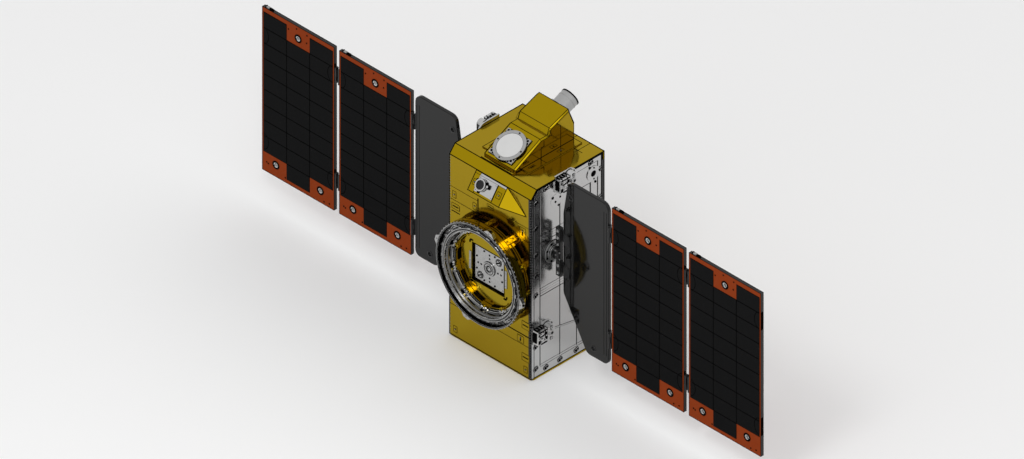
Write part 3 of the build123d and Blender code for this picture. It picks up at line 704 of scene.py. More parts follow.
def housing_seams():
    """Binding along the housing's edges, seams on its sides and on the skirt, and film patches."""
    kit = Kit("housing_seams", "bus")
    inner = inset(housing_outline[::-1], HOUSING_BEVEL)[::-1]
    half = HOUSING_W / 2
    straight = half - HOUSING_BEVEL
    for sign in (-1, 1):
        crest = [(sign * straight, FRONT + d, TOP + max(z, 0)) for d, z in housing_outline]
        flank = [(sign * half, FRONT + d, TOP + max(z, 0)) for d, z in inner]
        for path in (crest, flank):
            kit.bead(path, 1.1, up=(1, 0, 0))
        for bevel_edge in zip(crest[1:-1], flank[1:-1]):
            kit.bead(bevel_edge, 0.7)
        kit.bead([(sign * half, FRONT + inner[k][0], TOP + SKIRT_T) for k in (0, -1)], 1.5)
        side = place((sign * half, FRONT, TOP), (0, sign, 0), (sign, 0, 0))
        for path, width in HOUSING_SEAMS:
            kit.strip(side, [(sign * depth, rise) for depth, rise in path], width)
    for d, z in housing_outline[1:-1]:
        kit.bead([(-straight, FRONT + d, TOP + z), (straight, FRONT + d, TOP + z)], 1.2)
    skirt = TOP_FACE @ at(z=SKIRT_T)
    near, far = SKIRT_DEPTHS
    border = [(-SKIRT_X, near), (SKIRT_X, near), (SKIRT_X, far), (-SKIRT_X, far)]
    kit.strip(skirt, inset(border, 1), 2, closed=True)
    for sign in (-1, 1):
        kit.strip(skirt, [(sign * half, 163), (sign * SKIRT_X, 163)], 1.6)
        for path in TOP_SEAMS:
            kit.strip(TOP_FACE, [(sign * x, depth) for x, depth in path], 1.8)
        for depth, mark in ((110, "bar"), (250, "stud")):
            patch(kit, skirt @ at(sign * 95, depth, turn=90), 30, 16, mark)
    kit.emit()


# Antenna on the housing's front slope
antenna_low, antenna_high = box_of("antenna_ring")
slope_from = Vector((0, FRONT + 43, TOP + 12))
slope_to = Vector((0, FRONT + 172, TOP + 78))
ANTENNA_DOWN = 5
ANTENNA_SIZE = 112
ANTENNA_BASE_T = 5
ANTENNA_SCREW_R = 56.25
ANTENNA_TOP = 10
BRACKET_INSET = 9


def antenna_fittings():
    """Screws round the antenna's ring, corner brackets on its base, and the joint round its cover."""
    kit = Kit("antenna_fittings", "bus")
    origin = (slope_from + slope_to) / 2
    origin.x = (antenna_low.x + antenna_high.x) / 2
    slope = slope_to - slope_from
    base = place(origin, (1, 0, 0), (0, -slope.z, slope.y)) @ at(y=-ANTENNA_DOWN)
    kit.screws(base @ at(z=ANTENNA_TOP), polygon(4, ANTENNA_SCREW_R), 2.2, BLACK)
    kit.band(base, 49.6, 50.6, 9, 9.5)
    kit.band(base, 62, 63.2, 5, 6.2)
    reach = ANTENNA_SIZE / 2 - BRACKET_INSET
    for sx, sy in corners(1, 1):
        spot = base @ at(sx * reach, sy * reach, ANTENNA_BASE_T)
        kit.prism(GREY, spot, rounded(17, 17, 3), 2.4, 0.6)
        kit.screw(spot @ at(z=2.2), 3.2, BLACK)
        kit.block(BLACK, spot @ at(sx * 5.5, -sy * 9.5), (5, 7, 3.4))
        kit.block(BLACK, spot @ at(-sx * 9.5, sy * 5.5), (7, 5, 3.4))
    kit.strip(base @ at(z=0.2), rectangle(ANTENNA_SIZE + 2, ANTENNA_SIZE + 2), 2, 1, closed=True)
    kit.emit()


# Star tracker on the housing's tail
TAIL_TILT = radians(22)
TAIL_MIDDLE = Vector((12, FRONT + 310 + 14.24, TOP + 138 - 35.23))
BAFFLE_R = 36
BAFFLE_L = 62
BAFFLE_RIM = 5
VANE_HEIGHTS = (24, 33, 42, 51)


def star_tracker_fittings():
    """Rim bead, light-trap rings inside, base flange with screws, and a clamp band."""
    kit = Kit("star_tracker_fittings", "bus")
    base = place(TAIL_MIDDLE, (1, 0, 0), (0, cos(TAIL_TILT), sin(TAIL_TILT)))
    kit.band(base, BAFFLE_R - 3.6, BAFFLE_R + 1, BAFFLE_L - BAFFLE_RIM, BAFFLE_L + 0.4)
    for height in VANE_HEIGHTS:
        vane = [(BAFFLE_R - 2.9, height), (BAFFLE_R - 9, height + 1), (BAFFLE_R - 2.9, height + 1.2)]
        kit.lathe(BLACK, base, vane, 48)
    kit.band(base, BAFFLE_R - 3.4, BAFFLE_R - 3, 13.9, BAFFLE_L - 2)
    kit.band(base, 22.5, BAFFLE_R - 3.1, 14, 14.6)
    kit.band(base, BAFFLE_R - 0.2, BAFFLE_R + 7, 0, 4.2, slot=GREY)
    kit.screws(base @ at(z=4.2), polygon(8, BAFFLE_R + 3.6, 22.5), 1.8)
    clamp = [(BAFFLE_R - 0.2, 40), (BAFFLE_R + 0.9, 40.4), (BAFFLE_R + 0.9, 43.6), (BAFFLE_R - 0.2, 44)]
    kit.lathe(GREY, base, clamp, 64)
    kit.emit()


# Sensor wedge face, between the blanket's bevel and the wedge's nose
wedge_low, wedge_high = box_of("sensor_wedge")
WEDGE_NOSE_Z = TOP - 97
HEAD_X = 2.5
HEAD_W = 85
HEAD_H = 58
HEAD_T = 4
LENS_X = -19
LENS_EAR_R = 24.5
LENS_RING_TOP = 13


def sensor_fittings():
    """Binding round the wedge and tent, strip above the head, ears and connector of the lens, patches."""
    kit = Kit("sensor_fittings", "bus")
    top_edge = Vector((0, FRONT, wedge_high.z))
    nose = Vector((0, wedge_low.y, WEDGE_NOSE_Z))
    low_edge = Vector((0, FRONT, wedge_low.z))
    slope = top_edge - nose
    face = place((top_edge + nose) / 2, (1, 0, 0), (0, -slope.z, slope.y))
    half = slope.length / 2
    x0 = wedge_low.x
    x1 = wedge_high.x
    tip = (box_of("sensor_tent")[1].x, FRONT, box_of("sensor_tent")[0].z)
    for x in (x0, x1):
        kit.bead([(x, p.y, p.z) for p in (top_edge, nose, low_edge)], 1.5, up=(1, 0, 0))
    for p, radius in ((top_edge, 1.4), (nose, 1.4), (low_edge, 1.6)):
        kit.bead([(x0, p.y, p.z), (x1, p.y, p.z), tip], radius)
    head_x0 = HEAD_X - HEAD_W / 2
    kit.block(SILVER, face @ at((head_x0 + x1) / 2, half - 5), (x1 - head_x0, 7, 3))
    kit.strip(face, [(x0, half - 9.3), (x1, half - 9.3)], 1.2)
    for x in (head_x0 - 1, head_x0 + HEAD_W + 1):
        kit.strip(face, [(x, -half), (x, half)], 1.8, 1)
    patch(kit, face @ at(-54, -2), 17, 24, "stud")
    patch(kit, face @ at(64, -2), 22, 26, "stud")
    kit.screws(face @ at(HEAD_X, 0, HEAD_T), corners(HEAD_W / 2 - 5, HEAD_H / 2 - 5), 1.8)
    lens = face @ at(LENS_X)
    for angle in (35, 155, 270):
        ear = lens @ at(turn=angle) @ at(LENS_EAR_R, 0, HEAD_T)
        kit.prism(BLACK, ear, rounded(12, 10, 4), 4, 0.6)
        kit.screw(ear @ at(x=2, z=4), 1.9, BLACK)
    kit.band(lens, 22, 23.1, 12.6, 9, 48)
    kit.lathe(BLACK, lens, [(16, 9.8), (17, LENS_RING_TOP), (17.6, LENS_RING_TOP + 0.3), (16.6, 10)], 48)
    plug = face @ at(13, 6, HEAD_T)
    kit.block(BLACK, plug, (13, 15, 8), 1)
    kit.lathe(METAL, plug @ at(z=8), [(0, 0), (4.6, 0), (4.6, 2.6), (3.6, 3.2), (0, 3.2)], 20)
    kit.emit()


# Separation ring, drum and thruster plate
LEAF_H = 12
LINK_R = 176
LINK_END = 3.4
SPRING_R = 189
SPRING_ANGLE = 4.4
CLAMP_COUNT = 12
CLAMP_STEP = 360 / CLAMP_COUNT
CLAMP_R = 195
CROSS_COUNT = 10
CROSS_STEP = 360 / CROSS_COUNT
CROSS_R = 146
CROSS_TOP = 29
RIM_TOP = 24
DRUM_R = 182.2
FLANGE_TOP = FRONT - box_of("ring_flange")[1].y + 7.85
HOOK_R = 157
RIM_SCREWS = 72
# columns: inner radius, lower height, width and height of each chamfered ring
RING_CHAMFERS = (
    (159.6, FLANGE_TOP + 3, 3.2, 4.6), (161.8, LEDGE_TOP + 3, 2.4, 3.5),
    (170.2, LEDGE_TOP + 12.8, 2.1, 3), (178.2, LEDGE_TOP + 12.8, 2.1, 3),
)
# columns: x, y, radius of each nut in a group
HOOK_NUTS = ((-2, -14, 4.8), (1.6, -5, 4), (-2.4, 4, 5), (0.6, 14, 4.4))
# columns: slot, base, inner and outer radius, height from and to above the base
RING_BANDS = (
    (HINGE, RING_TOP, RING_R - 6.6, RING_R - 0.4, -0.5, 0.3),
    (METAL, RING_TOP, RING_R - 2.8, RING_R - 1.4, 0, 0.7),
    (METAL, LEDGE_TOP, 192.8, 196.6, 0, 1.6),
    (BLACK, LEDGE_TOP, 187.6, 189, 0, 1),
    (METAL, LEDGE_TOP, 185, 187.4, 0, 4),
    (YOKE, LEDGE_TOP, 179.2, 184.4, 12.2, 13.2),
    (METAL, LEDGE_TOP, 176, 178.4, 12.2, 13.6),
    (YOKE, LEDGE_TOP, 170.6, 175.4, 12.2, 13.2),
    (METAL, LEDGE_TOP, 168, 170, 12.2, 13.6),
    (YOKE, RING_TOP, RING_R - 0.3, RING_R + 0.5, -6.5, -0.6),
    (GREY, FLANGE_TOP, 163.4, 164.4, 3, LEDGE_TOP - FLANGE_TOP - 0.4),
    (GOLD, DRUM_H, RING_R - 0.3, RING_R + 0.5, 1, RING_TOP - DRUM_H - 6.5),
    (BLACK, DRUM_H, RING_R - 0.3, RING_R + 0.9, 1, 3),
    (BLACK, DRUM_H, RING_R - 0.3, RING_R + 0.9, 20, 22),
)
UNIT_ANGLES = (37.5, 127.5, 217.5, 307.5)
LUG_ANGLES = (75, 164, 254, 354)
LUG_REACH = 14


def ring_mechanism():
    """Release mechanism on the ring's ledge: rollers, link rods, springs, bands, hooks and four units."""
    kit = Kit("ring_mechanism", "bus")
    step = 360 / BOLT_COUNT
    for k in range(BOLT_COUNT):
        angle = step * k
        foot = on_ring(angle, LEAF_R[0] + 4, LEDGE_TOP + 4)
        kit.screws(foot, ((0, -5.5), (0, 5.5)), 1.7, BLACK if k % 2 else METAL)
        roller = on_ring(angle, LEAF_R[1] - 2, LEDGE_TOP + LEAF_H + 1)
        kit.bead([(0, -9.5, 0), (0, 9.5, 0)], 2.4, METAL, roller, steps=12)
        for y in (-9.5, 9.5):
            kit.bead([(0, y - 0.8, 0), (0, y + 0.8, 0)], 3, where=roller, steps=12)
        ends = (angle + LINK_END, angle + step - LINK_END)
        kit.bead(arc(LINK_R, *ends, LEDGE_TOP + 8), 1.5, METAL, RING_AXIS, steps=8)
        for end in ends:
            post = on_ring(end, LINK_R, LEDGE_TOP)
            kit.lathe(BLACK, post @ at(z=5.4), [(0, 0), (3.4, 0), (3.4, 5), (2.4, 5.6), (0, 5.6)], 14)
            kit.disc(METAL, post, 2.6, 5.5, 12)
        hole = on_ring(angle + step / 2, BOLT_R, LEDGE_TOP)
        kit.lathe(METAL, hole, [(3.45, 0), (5.2, 0), (5.2, 0.9), (4.6, 1.3), (3.45, 1.3)], 20)
        spring = on_ring(angle + SPRING_ANGLE, SPRING_R, LEDGE_TOP)
        kit.coil(METAL, spring, 2.6, 0.6, 9.5, 5)
        kit.screw(spring @ at(z=9), 2, BLACK)
        kit.nut(on_ring(angle - SPRING_ANGLE, SPRING_R, LEDGE_TOP), 3.2)
        kit.block(METAL, on_ring(angle + step / 2, 170.6, LEDGE_TOP), (3.6, 20, 5))
    for angle in UNIT_ANGLES:
        unit = on_ring(angle, 176.5, LEDGE_TOP)
        kit.block(METAL, unit, (13, 23, 9), 1.2)
        kit.lathe(BLACK, unit @ at(z=9), [(0, 0), (5, 0), (5, 3.4), (4.2, 4.2), (0, 4.2)], 24)
        kit.screws(unit @ at(z=9), ((0, -8.4), (0, 8.4)), 2)
        kit.bead(arc(168.6, angle - 5, angle + 30, LEDGE_TOP + 2, 20), 1.4, where=RING_AXIS, steps=8)
    for angle in LUG_ANGLES:
        kit.screw(on_rim(angle, RING_R + LUG_REACH, RING_TOP - 9), 3.4, BLACK)
        kit.nut(on_ring(angle, RING_R + 6.5, RING_TOP - 1), 2.8)
    for slot, base, *band in RING_BANDS:
        kit.band(RING_AXIS @ at(z=base), *band, 144, slot)
    for inner, low, width, height in RING_CHAMFERS:
        outer = inner + width
        high = low + height
        chamfer = [(inner, low), (outer + 0.4, low), (outer + 0.4, high), (outer, high)]
        kit.lathe("shaft_steel", RING_AXIS, chamfer, 144)
    for k in range(RIM_SCREWS):
        kit.screw(on_rim(360 / RIM_SCREWS * k, RING_R + 0.3, RING_TOP - 3.6), 1.9, SILVER)
    for k in range(CROSS_COUNT):
        angle = CROSS_STEP * (k + 0.5)
        hook = on_ring(angle, HOOK_R, FLANGE_TOP)
        kit.block(HINGE, hook, (11, 40, 5), 1)
        for x, y, size in HOOK_NUTS:
            kit.nut(hook @ at(x, y, 4.6), size, SILVER)
        kit.block(BLACK, hook @ at(5, 0, 8), (3, 26, 9))
        kit.block(SILVER, hook @ at(4, 9, 12), (5, 7, 9), 0.8)
        kit.slit(163.2, angle + 8, angle + 22, (FLANGE_TOP + LEDGE_TOP) / 2 + 2, 0.8, 6)
        gap = (156, angle + 9, angle + 27)
        kit.slit(*gap, FLANGE_TOP, 2.6, 1)
        kit.bead(arc(*gap, FLANGE_TOP + 5, 6), 1.8, METAL, RING_AXIS, steps=8)
    kit.emit()


def drum_fittings():
    """Bolts and cross straps on the drum's clamps, screws on the crosses, painted shade on the drum's wall
    between the clamps and on the rim between the crosses, and the joint lines of its film.
    """
    kit = Kit("drum_fittings", "bus")
    for k in range(CLAMP_COUNT):
        angle = CLAMP_STEP * k
        face = on_rim(angle, CLAMP_R, DRUM_H / 2)
        for turn in (38, -38):
            kit.prism(GOLD, face @ at(turn=turn), rounded(24, 4.4, 2), 1.6, 0.4)
        kit.nut(face @ at(z=1.4), 3.6, GOLD)
        kit.screws(face, ((9, -6.5), (9, 6.5)), 1.9, GOLD)
        # Painted shade: a black strip on the drum's wall between two clamps
        kit.slit(DRUM_R, angle + 7, angle + CLAMP_STEP - 7, DRUM_H / 2, 1, 15)
    for k in range(CROSS_COUNT):
        angle = CROSS_STEP * (k + 0.5)
        cross = on_ring(angle, CROSS_R, CROSS_TOP)
        kit.screws(cross, ((0, -9), (0, 9)), 2, BLACK)
        kit.nut(cross, 2.8, GOLD)
        ends = (angle + 8.5, angle + CROSS_STEP - 8.5)
        # Painted shade: black strips on the rim and on its inner wall between two crosses
        kit.slit(CROSS_R, *ends, RIM_TOP, 5, 0.8, 8)
        kit.slit(CROSS_R - 4, *ends, 16, 0.8, 8, 8)
    kit.band(RING_AXIS, 140.8, 142.4, 10, 10.6, 96)
    kit.band(RING_AXIS, 182, 184.4, 0, 0.8, 96)
    kit.emit()


PLATE_W = 140
PLATE_T = 4
RECESS_W = 152
# Width of the painted shadow line round the recess
SHADOW_LINE_W = 3.6
DISC_H = 10
FLANGE_X = 87.5
PLATE_EARS = ((45, 47), (-45, -47))
PLATE_HOLES = (41, 56)
NOZZLE_SCREW_R = 21.5
THROAT = (
    (0, 1), (5, 1), (5, 3), (6.4, 3.6), (7.8, 3), (9.6, 2.6), (12.4, 4.2), (13.6, 4.2),
    (14.2, 2), (16.6, 2), (16.6, 0), (0, 0),
)


def thruster_fittings():
    """Painted shade in the gap round the plate and a painted shadow line round the recess, side flanges,
    screws, and the nozzle's stepped throat.
    """
    kit = Kit("thruster_fittings", "bus")
    top = RING_AXIS @ at(z=PLATE_T)
    rim = RING_AXIS @ at(z=DISC_H)
    gap = (RECESS_W - PLATE_W) / 2
    # Painted shade: black strips in the gap round the plate and along the recess's edge on the disc stand in
    # for the shade there
    kit.strip(RING_AXIS, rectangle(PLATE_W + gap, PLATE_W + gap), gap - 0.4, 3, closed=True)
    kit.strip(rim, rectangle(RECESS_W + SHADOW_LINE_W, RECESS_W + SHADOW_LINE_W), SHADOW_LINE_W, closed=True)
    for x in (-FLANGE_X, FLANGE_X):
        flange = rim @ at(x)
        kit.block(GREY, flange, (10, 74, 3), 0.8)
        kit.screws(flange @ at(z=3), ((0, -28), (0, 0), (0, 28)), 2)
    for reach_x, reach_y, size in ((82, 86, (13, 5, 2.2)), (90, 78, (5, 9, 2.2))):
        for x, y in corners(reach_x, reach_y):
            kit.block(BLACK, rim @ at(x, y), size, 0.5)
    kit.screws(top, corners(63, 63), 2.2)
    kit.screws(top, corners(26, 62) + corners(62, 26), 2.6, BLACK)
    for x, y in PLATE_EARS:
        spot = top @ at(x, y)
        ear = spot @ at(z=3, turn=30)
        kit.prism(BLACK, ear, rounded(11, 5.4, 2.6), 1, 0.3)
        kit.screws(ear, ((-8.6, 0), (8.6, 0)), 2.2, BLACK)
        kit.band(spot, 12, 14.6, 0, 0.6, 32)
        kit.band(spot, 8.6, 11.6, 2.6, 3.4, 32)
    for radius in PLATE_HOLES:
        for x, y in polygon(4, radius):
            kit.disc(BLACK, top @ at(x, y, -0.6), 4, 0.9)
    kit.lathe(METAL, top, THROAT, 48)
    for radius, rise in ((27.4, 0), (NOZZLE_SCREW_R, 5), (11, 4)):
        kit.band(top, radius - 1.5, radius + 1.5, rise, rise + 0.5, 48)
    kit.screws(top @ at(z=5), polygon(6, NOZZLE_SCREW_R, 30), 1.3)
    kit.emit()


# Side faces: fasteners (depth, z), in columns and rows along the panel's border
FASTENERS = (
    [(22, z) for z in (41, 135, 352, 436, 524, 638, 745)]
    + [(depth, 24) for depth in (72, 141, 221, 300)]
    + [(336, z) for z in (60, 150, 262, 380, 500, 615, 735)]
    + [(depth, 783) for depth in (72, 292)]
)
PORT = (303, 733)
DOT_PATCH = (123, 708)
# columns: x, y, radius
PATCH_DOTS = ((-17, 17, 5.4), (19, 6, 4.2), (-4, -5, 4.4), (11, -25, 4.6))
HOLDDOWNS = ((179, 780), (69, 189), (289, 189))
GROOVES = (44, 141, 223, 326)
# columns: z, width
RIB_LINES = ((39, 1.2), (49, 1.2), (339, 2.4), (371, 1.4), (563, 2.4), (595, 1.4), (775, 1))
POCKET = ((229, 592), (292, 592), (292, 699), (229, 699))
HALF_TURN = Matrix.Rotation(pi, 4, "Z")
HEAD_TOP = 30
FOOT_T = 6
BLOCK_X = -43
BLOCK_TOP = 32
# columns: x and y on the hold-down's block, then width and height of each pad, or radius of each nut
BLOCK_PADS = (
    (0, 25, 42, 5), (6, -25, 30, 5), (13, 11, 14, 12), (-3, 7, 14, 6), (18, -9, 6, 12), (-17, -15, 9, 14),
    (-18, 14, 6, 9),
)
BLOCK_NUTS = ((-10, 16, 4.2), (-4, -5, 4.6), (7, -13, 4.6), (3, 17, 3.2), (-15, -1, 3.2), (-6, -17, 3.4))
FOOT_SCREWS = ((25, 17), (25, -17), (-58, 31), (-28, 31), (-58, -31), (-28, -31))


def side_fittings():
    """Border fasteners, round dotted patch, stiffener, and seam lines of one silver side."""
    kit = Kit("right_side_fittings", "bus")
    for depth, z in FASTENERS:
        spot = SIDE_FACE @ at(depth, z, turn=25)
        kit.prism(SILVER, spot, rounded(19, 13, 4), 1.6, 0.5)
        kit.strip(spot, rounded(22, 16, 5), 2.6, 0.9, closed=True)
        for x, radius in ((-3.4, 3.6), (5.4, 2.4)):
            kit.screw(spot @ at(x, z=1.6), radius, BLACK)
    spot = SIDE_FACE @ at(*DOT_PATCH)
    kit.disc(SILVER, spot, 27, 0.6, 48)
    for x, y, radius in PATCH_DOTS:
        kit.disc(BLACK, spot @ at(x, y, 0.5), radius, 0.8)
    for depth in GROOVES:
        kit.strip(SIDE_FACE @ at(z=-0.8), [(depth, 44), (depth, 775)], 2.2)
    for z, width in RIB_LINES:
        kit.strip(SIDE_FACE, [(44, z), (326, z)], width, 0.4)
    kit.strip(SIDE_FACE, [(179, 345), (179, 700)], 0.9, 0.4)
    for rise, width, height, slot in ((-3, 1.4, 0.6, BLACK), (3, 1.4, 0.6, BLACK), (0, 4.6, 0.9, SILVER)):
        kit.strip(SIDE_FACE, [(112, 171 + rise), (232, 148 + rise)], width, height, slot)
    kit.strip(SIDE_FACE, POCKET, 1.6, closed=True)
    kit.pair()


def port_fittings():
    """Dark bore and screws of the port on the right side."""
    kit = Kit("port_fittings", "bus")
    port = SIDE_FACE @ at(*PORT)
    kit.lathe(BLACK, port, [(0, 0.2), (12.1, 0.2), (12.1, 3.1), (11.4, 3.1), (10.8, 1), (0, 1)], 32)
    kit.screws(port, ((-15.6, 29.5), (12, -41)), 3.4, BLACK)
    kit.screws(port @ at(z=3), ((2.5, 23), (2.5, -23)), 2.2, BLACK)
    kit.emit()


def holddown_fittings():
    """Bolts, springs, ribs and clamps of the three hold-down brackets on one side."""
    kit = Kit("right_holddown_fittings", "bus")
    for depth, z in HOLDDOWNS:
        spot = SIDE_FACE @ at(depth, z)
        block = spot @ at(BLOCK_X)
        for y in (-23, 23):
            kit.disc(BLACK, spot @ at(y=y, z=HEAD_TOP), 7.6, 0.6, 24)
            kit.screw(spot @ at(y=y, z=HEAD_TOP + 0.5), 4)
        kit.disc(BLACK, spot @ at(z=FOOT_T + 0.2), 5.9, 0.8, 24)
        kit.lathe(METAL, spot, [(6.05, 33), (8.4, 33.6), (9.6, 34.6), (6.05, 34.6)], 32)
        kit.strip(spot @ at(z=FOOT_T), rounded(36, 70, 17.9, 8), 2.6, 0.8, closed=True)
        for x, y, width, height in BLOCK_PADS:
            kit.block(BLACK, block @ at(x, y, BLOCK_TOP - 0.2), (width, height, 1.8), 0.5)
        for x, y, radius in BLOCK_NUTS:
            kit.nut(block @ at(x, y, BLOCK_TOP - 0.2), radius, SILVER)
        for x in (-12, 12):
            trough = block @ at(x, -26, BLOCK_TOP - 4.6) @ Matrix.Rotation(-pi / 2, 4, "X")
            kit.coil(BLACK, trough, 2.7, 0.75, 52, 13)
        for y in (-29.6, 29.6):
            kit.block(BLACK, block @ at(y=y, z=FOOT_T), (38, 3, 16), 0.8)
            for x in (-13, 0, 13):
                kit.bead([(x, y, 9), (x, y, 21)], 2, METAL, block, up=(1, 0, 0))
        kit.block(BLACK, block @ at(-23.2, 0, FOOT_T), (2.4, 40, 18), 0.8)
        kit.block(BLACK, block @ at(24, 0, FOOT_T), (4, 46, 14), 0.8)
        kit.screws(spot @ at(z=FOOT_T), FOOT_SCREWS, 2.6, BLACK)
    kit.pair(HALF_TURN)


def drive_fittings():
    """Flange bolts and seals on the fixed side of one drive."""
    kit = Kit("right_drive_fittings", "bus")
    drive = SIDE_FACE @ at(DRIVE_Y - FRONT, DRIVE_Z)
    kit.screws(drive @ at(z=4), polygon(8, 38, 22.5), 3, BLACK)
    kit.band(drive, 15.2, 20, 11.6, 12.5, 40)
    kit.band(drive, 29.8, 30.6, 6.4, 9.6, 40)
    kit.band(drive, 44.8, 47, 0, 0.8, 48)
    kit.screws(drive @ at(z=12), polygon(6, 25), 1.6)
    kit.pair()


# Wings: fittings are made for the right wing and mirrored
CELL_COLUMNS = 3
CELL_ROWS = 10
CELL_SIDE = 6
CELL_TOP = 20
CELL_BOTTOM = 16
CELL_FACE = WING_Y - box_of("right_inner_cells")[0].y
CELL_LINE_H = CELL_FACE + 0.15
CUP_R = 14
CUP_PROUD = 1
CUP_SIDE = 67
CUP_TOP = 51
CUP_LOW = 50
# Screw holes round the upper, lower left and lower right cup, alike on all panels
CUP_DOTS = (
    ((-48, 18), (-8, 38), (43, 34), (41, 1)), ((-45, -9), (-37, -12), (46, -31)), ((18, -38), (44, -34)),
)
HINGE_ZS = (264, 713)
ROOT_HINGE_ZS = (443, 579)
YOKE_HOLES = ((289, 772), (401, 188))
BUSH = ((8.6, -4), (12.5, 0), (12.5, 0.8), (11.6, 1.2), (8.6, 1.2))
# Half ellipse of a hinge's insert under the cells: reach, half height and angles
INSERT_REACH = 25
INSERT_H = 35
INSERT_ANGLES = [radians(-84 + 14 * k) for k in range(13)]


def root_fittings():
    """Nuts on the root bracket, and its damper block with two rods."""
    kit = Kit("right_root_fittings", "right_drive")
    low, high = box_of("right_root_bracket")
    middle = (low.x + high.x) / 2
    for z in (low.z + 14, low.z + 44, high.z - 72, high.z - 43, high.z - 14):
        kit.nut(WING_FACE @ at(middle, z), 4.2)
        kit.nut(YOKE_REAR @ at(-middle, z), 4.2)
    damper = WING_FACE @ at(middle, DRIVE_Z + 4)
    kit.block(HINGE, damper, (20, 46, 11), 1.4)
    for y in (-13, 13):
        rod = damper @ at(y=y, z=6.5)
        kit.bead([(-12.5, 0, 0), (19, 0, 0)], 3.2, METAL, rod, steps=14)
        kit.bead([(10.2, 0, 0), (13, 0, 0)], 4.4, where=rod, steps=14)
    kit.screws(damper @ at(z=11), ((0, -19), (0, 0), (0, 19)), 2.2)
    kit.pair()


def strap(kit, where, width, height, rise, bevel, columns, rows, radius, slot=METAL):
    """Hinge strap with columns and rows of screws."""
    kit.prism(HINGE, where, rounded(width, height, 3), rise, bevel)
    kit.screws(where @ at(z=rise), [(x, y) for x in columns for y in rows], radius, slot)


def yoke_fittings():
    """Bushes in the yoke's holes, lines along its edge, and hinge straps with screws."""
    kit = Kit("right_yoke_fittings", "right_yoke")
    for x, z in YOKE_HOLES:
        for where in (WING_FACE @ at(x, z), YOKE_REAR @ at(-x, z)):
            kit.lathe(HINGE, where, BUSH, 36)
    for z in HINGE_ZS:
        strap(kit, YOKE_REAR @ at(17 - yoke_high.x, z), 30, 62, 2, 0.5, (-9, 9), (-24, 0, 24), 1.9)
    for margin in (10, 22):
        for where, x in ((WING_FACE, yoke_high.x - margin), (YOKE_REAR, margin - yoke_high.x)):
            kit.strip(where, [(x, yoke_low.z + 38), (x, yoke_high.z - 38)], 1.6, 0.3)
    for z in ROOT_HINGE_ZS:
        strap(kit, WING_FACE @ at(yoke_low.x + 17, z), 26, 46, 1.4, 0.4, (-8, 8), (-17, 17), 1.7, HINGE)
    kit.pair()


def cup_places(x0):
    """Upper, lower left and lower right cup of the panel that starts at x0."""
    low, high = PANEL_Z
    x1 = x0 + PANEL_W
    return (x0 + PANEL_W / 2, high - CUP_TOP), (x0 + CUP_SIDE, low + CUP_LOW), (x1 - CUP_SIDE, low + CUP_LOW)


def panel_fittings(leaf):
    """Dark carrier and lines of the cells, cup bolts, closed edges, and stiffeners on the back."""
    kit = Kit(f"right_{leaf}_fittings", f"right_{leaf}")
    x0 = PANEL_X0[leaf]
    x1 = x0 + PANEL_W
    low, high = PANEL_Z
    cell_low = low + CELL_BOTTOM
    cell_high = high - CELL_TOP
    pitch_x = (PANEL_W - 2 * CELL_SIDE) / CELL_COLUMNS
    pitch_z = (cell_high - cell_low) / CELL_ROWS
    for column in range(CELL_COLUMNS):
        middle = column == CELL_COLUMNS // 2
        zone_top = cell_high - (pitch_z if middle else 0)
        zone_low = cell_low + (0 if middle else pitch_z)
        x = x0 + CELL_SIDE + (column + 0.5) * pitch_x
        zone = rectangle(pitch_x + 1, zone_top - zone_low + 3)
        kit.prism(BLACK, WING_FACE @ at(x, (zone_top + zone_low) / 2), zone, 0.3)
        for row in range(1, CELL_ROWS - 1):
            line = WING_FACE @ at(x, zone_top - row * pitch_z)
            kit.block(BLACK, line, (pitch_x - 1, 4.6, CELL_LINE_H), 0.1)
        if column:
            line = WING_FACE @ at(x - pitch_x / 2, (cell_low + cell_high) / 2)
            kit.block(BLACK, line, (4, cell_high - cell_low - 2 * pitch_z, CELL_LINE_H), 0.1)
    for z in HINGE_ZS:
        for x, reach in ((x0 + CELL_SIDE, INSERT_REACH), (x1 - CELL_SIDE, -INSERT_REACH)):
            curve = [(reach * cos(a), INSERT_H * sin(a)) for a in INSERT_ANGLES]
            kit.strip(WING_FACE @ at(x, z), curve, 3, CELL_FACE + 0.12)
    for x, z in cup_places(x0):
        cup = WING_FACE @ at(x, z)
        kit.band(cup, CUP_R - 4, CUP_R + 2.6, 0, CUP_PROUD + 0.4, 36)
        kit.block(BLACK, cup @ at(4.2, 0, CUP_PROUD, 30), (3.4, 17, 0.5), 0.1)
        kit.nut(cup @ at(x=-2, z=CUP_PROUD - 0.2), 4)
        kit.band(PANEL_REAR @ at(-x, z), CUP_R - 0.2, CUP_R + 2.6, 0, 0.7, 36)
    outline = [(x0, low), (x1, low), (x1, high), (x0, high)]
    thick = PANEL_BACK - WING_Y
    edge = [(x, WING_Y + thick / 2, z) for x, z in outline]
    kit.sweep(YOKE, Matrix(), edge, rectangle(0.8, thick + 0.2), up=(0, 1, 0), closed=True)
    for y in (WING_Y, PANEL_BACK):
        kit.bead([(x, y, z) for x, z in outline], 1, up=(0, 1, 0), closed=True)
    for column in (1, 2):
        x = x0 + CELL_SIDE + column * pitch_x
        kit.strip(PANEL_REAR, [(-x, low + 30), (-x, high - 62)], 9, 1.4)
        for k in range(8):
            kit.block(GREY, PANEL_REAR @ at(-x, low + 48 + 74 * k), (17, 7, 2), 0.5)
    kit.strip(PANEL_REAR, [(-x0 - 24, high - 62), (24 - x1, high - 62)], 9, 1.5)
    hinge_x = x1 - 16 if leaf == "inner" else x0 + 16
    for z in HINGE_ZS:
        strap(kit, PANEL_REAR @ at(-hinge_x, z), 28, 62, 1.6, 0.4, (-8, 8), (-23, 0, 23), 1.5)
    kit.pair()


